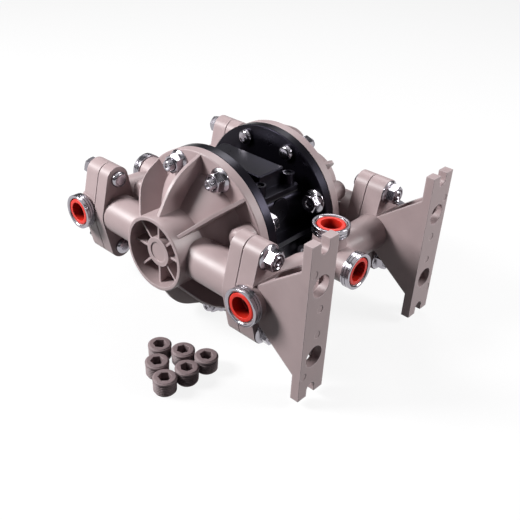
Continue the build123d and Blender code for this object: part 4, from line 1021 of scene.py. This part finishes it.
@dataclass
class Studio:
    """A white paper floor, surroundings that are white to the camera, and soft lamps.

    Each lamp is a name, a place in metres, a side in metres and a power in watts. Each band is
    where it lies between the horizon at 0 and straight up at 1, and how bright it is.
    """

    floor_size: float = 6.0
    floor_colour: str = "F2F1F2"
    floor_shadow: float = 0.13
    bounce_colour: str = "2A2A2C"
    lamps: tuple[tuple[str, tuple[float, float, float], float, float], ...] = (
        ("left_softbox", (-0.90, -0.84, 0.74), 0.42, 28.0),
        ("right_softbox", (0.72, 0.62, 0.62), 0.42, 11.0),
        ("back_softbox", (-0.62, 0.66, 1.00), 0.5, 5.0),
    )
    aim: tuple[float, float, float] = (-0.12, 0.0, 0.0)
    low_band: tuple[float, float, float, float] = (0.4, 0.39, 0.41, 1)
    high_band: tuple[float, float, float, float] = (1.0, 1.0, 1.0, 1)
    high_band_start: float = 0.85
    bands: tuple[tuple[float, float], ...] = (
        (0.12, 0.02), (0.40, 0.02), (0.47, 0.60), (0.60, 0.70), (0.66, 0.05), (0.80, 0.06))
    band_blue: float = 1.03
    soft_colour: tuple[float, float, float, float] = (0.95, 0.93, 1.0, 1)
    soft_strength: float = 0.04

    def paper(self) -> bpy.types.Material:
        """Makes the floor's paper.

        It is white to the camera and in gloss, with the object's shadow kept in it, and dark grey
        in the light that it throws back.

        Returns:
            The material.
        """
        material = bpy.data.materials.new("white_background_paper")
        material.use_nodes = True
        tree = material.node_tree
        tree.nodes.clear()
        rays = add_node(tree, "ShaderNodeLightPath")
        camera_or_glossy = add_node(tree, "ShaderNodeMath", {
            0: rays.outputs["Is Camera Ray"], 1: rays.outputs["Is Glossy Ray"]}, operation="MAXIMUM")
        seen = add_node(tree, "ShaderNodeMath", {
            0: camera_or_glossy.outputs[0], 1: rays.outputs["Is Transmission Ray"]}, operation="MAXIMUM")
        share = add_node(tree, "ShaderNodeMath", {0: seen.outputs[0], 1: 1.0 - self.floor_shadow},
                         operation="MULTIPLY")
        bounce = add_node(tree, "ShaderNodeMix", {
            MixSocket.FACTOR.value: rays.outputs["Is Diffuse Ray"],
            MixSocket.FIRST.value: linear(self.floor_colour),
            MixSocket.SECOND.value: linear(self.bounce_colour)}, data_type="RGBA")
        lit = add_node(tree, "ShaderNodeBsdfDiffuse", {"Color": bounce.outputs[MixSocket.RESULT.value]})
        glow = add_node(tree, "ShaderNodeEmission", {"Color": (1, 1, 1, 1), "Strength": 1.0})
        mixed = add_node(tree, "ShaderNodeMixShader", {
            "Fac": share.outputs[0], 1: lit.outputs["BSDF"], 2: glow.outputs["Emission"]})
        add_node(tree, "ShaderNodeOutputMaterial", {"Surface": mixed.outputs["Shader"]})
        return material

    def lay_floor(self) -> None:
        """Lays the paper under the pump and marks it as stage."""
        half = self.floor_size / 2
        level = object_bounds()[0].z
        mesh = bpy.data.meshes.new("paper_floor")
        sheet = bmesh.new()
        corners = ((-half, -half), (half, -half), (half, half), (-half, half))
        sheet.faces.new([sheet.verts.new((x, y, level)) for x, y in corners])
        sheet.to_mesh(mesh)
        sheet.free()
        mesh.materials.append(self.paper())
        floor = bpy.data.objects.new("paper_floor", mesh)
        bpy.context.scene.collection.objects.link(floor)
        floor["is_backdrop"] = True

    def hang_lamps(self) -> None:
        """Hangs the soft boxes, each turned to the pump."""
        for name, place, size, power in self.lamps:
            lamp = bpy.data.lights.new(name, "AREA")
            lamp.shape = "SQUARE"
            lamp.size = size
            lamp.energy = power
            holder = bpy.data.objects.new(name, lamp)
            bpy.context.scene.collection.objects.link(holder)
            holder.location = place
            toward = Vector(self.aim) - Vector(place)
            holder.rotation_euler = toward.to_track_quat("-Z", "Y").to_euler()

    def surround(self) -> None:
        """Makes the surroundings.

        They are plain white to the camera. In gloss they show pale bands with dark gaps between,
        one over the other, and they light the pump a little.
        """
        world = bpy.data.worlds.new("studio")
        bpy.context.scene.world = world
        world.use_nodes = True
        tree = world.node_tree
        tree.nodes.clear()
        rays = add_node(tree, "ShaderNodeLightPath")
        sight = add_node(tree, "ShaderNodeTexCoord")
        split = add_node(tree, "ShaderNodeSeparateXYZ", {"Vector": sight.outputs["Generated"]})
        panels = add_node(tree, "ShaderNodeValToRGB", {"Fac": split.outputs["Z"]})
        ramp = panels.color_ramp
        ramp.elements[0].position = 0.0
        ramp.elements[0].color = self.low_band
        ramp.elements[1].position = self.high_band_start
        ramp.elements[1].color = self.high_band
        for position, level in self.bands:
            stop = ramp.elements.new(position)
            stop.color = (level, level, level * self.band_blue, 1)
        plain = add_node(tree, "ShaderNodeBackground", {"Color": (1, 1, 1, 1), "Strength": 1.0})
        glossy = add_node(tree, "ShaderNodeBackground", {
            "Color": panels.outputs["Color"], "Strength": 1.0})
        soft = add_node(tree, "ShaderNodeBackground", {
            "Color": self.soft_colour, "Strength": self.soft_strength})
        shining = add_node(tree, "ShaderNodeMath", {
            0: rays.outputs["Is Glossy Ray"], 1: rays.outputs["Is Transmission Ray"]}, operation="MAXIMUM")
        reflected = add_node(tree, "ShaderNodeMixShader", {
            "Fac": shining.outputs[0], 1: soft.outputs["Background"], 2: glossy.outputs["Background"]})
        seen = add_node(tree, "ShaderNodeMixShader", {
            "Fac": rays.outputs["Is Camera Ray"], 1: reflected.outputs["Shader"],
            2: plain.outputs["Background"]})
        add_node(tree, "ShaderNodeOutputWorld", {"Surface": seen.outputs["Shader"]})

    def build(self) -> None:
        """Sets the whole studio up."""
        self.lay_floor()
        self.hang_lamps()
        self.surround()


@dataclass
class PhotoCamera:
    """The camera at the photograph's place and angle."""

    eye: tuple[float, float, float] = (0.2410, -0.4247, 0.3137)
    azimuth: float = 42.03
    elevation: float = 31.62
    roll: float = 2.52
    lens: float = 49.38
    sensor: float = 36.0
    shift: tuple[float, float] = (0.0233, -0.0113)
    nearest: float = 0.01

    def build(self) -> None:
        """Makes the camera and puts it in charge of the scene."""
        around, above, roll = radians(self.azimuth), radians(self.elevation), radians(self.roll)
        back = Vector((sin(around) * cos(above), -cos(around) * cos(above), sin(above)))
        level = Vector((cos(around), sin(around), 0))
        upright = back.cross(level)
        right = level * cos(roll) + upright * sin(roll)
        up = upright * cos(roll) - level * sin(roll)
        data = bpy.data.cameras.new("photo_camera")
        data.lens = self.lens
        data.sensor_width = self.sensor
        data.shift_x, data.shift_y = self.shift
        data.clip_start = self.nearest
        camera = bpy.data.objects.new("photo_camera", data)
        bpy.context.scene.collection.objects.link(camera)
        turn = Matrix((right, up, back)).transposed().to_4x4()
        camera.matrix_world = Matrix.Translation(Vector(self.eye)) @ turn
        bpy.context.scene.camera = camera


def main() -> None:
    """Dresses the frame, builds the detailed pieces and the studio, and reports each."""
    logging.basicConfig(level=logging.INFO, format="%(name)s: %(message)s")
    bpy.context.view_layer.update()
    palette = Palette()
    PhotoCamera().build()
    log.info("housings and inner pieces: %d nodes dressed", Housings().dress(palette))
    log.info("fasteners: %d pieces", Fasteners().build(palette))
    log.info("port fittings: %d pieces", PortFittings().build(palette))
    log.info("pipe plugs: %d pieces", PipePlugs().build(palette))
    log.info("diaphragms: %d sectors", Diaphragms().build(palette))
    Studio().build()
    log.info("studio: floor, lamps and surroundings")
    bpy.context.scene.view_settings.view_transform = "Standard"
    bpy.context.view_layer.update()


if __name__ == "__main__":
    main()
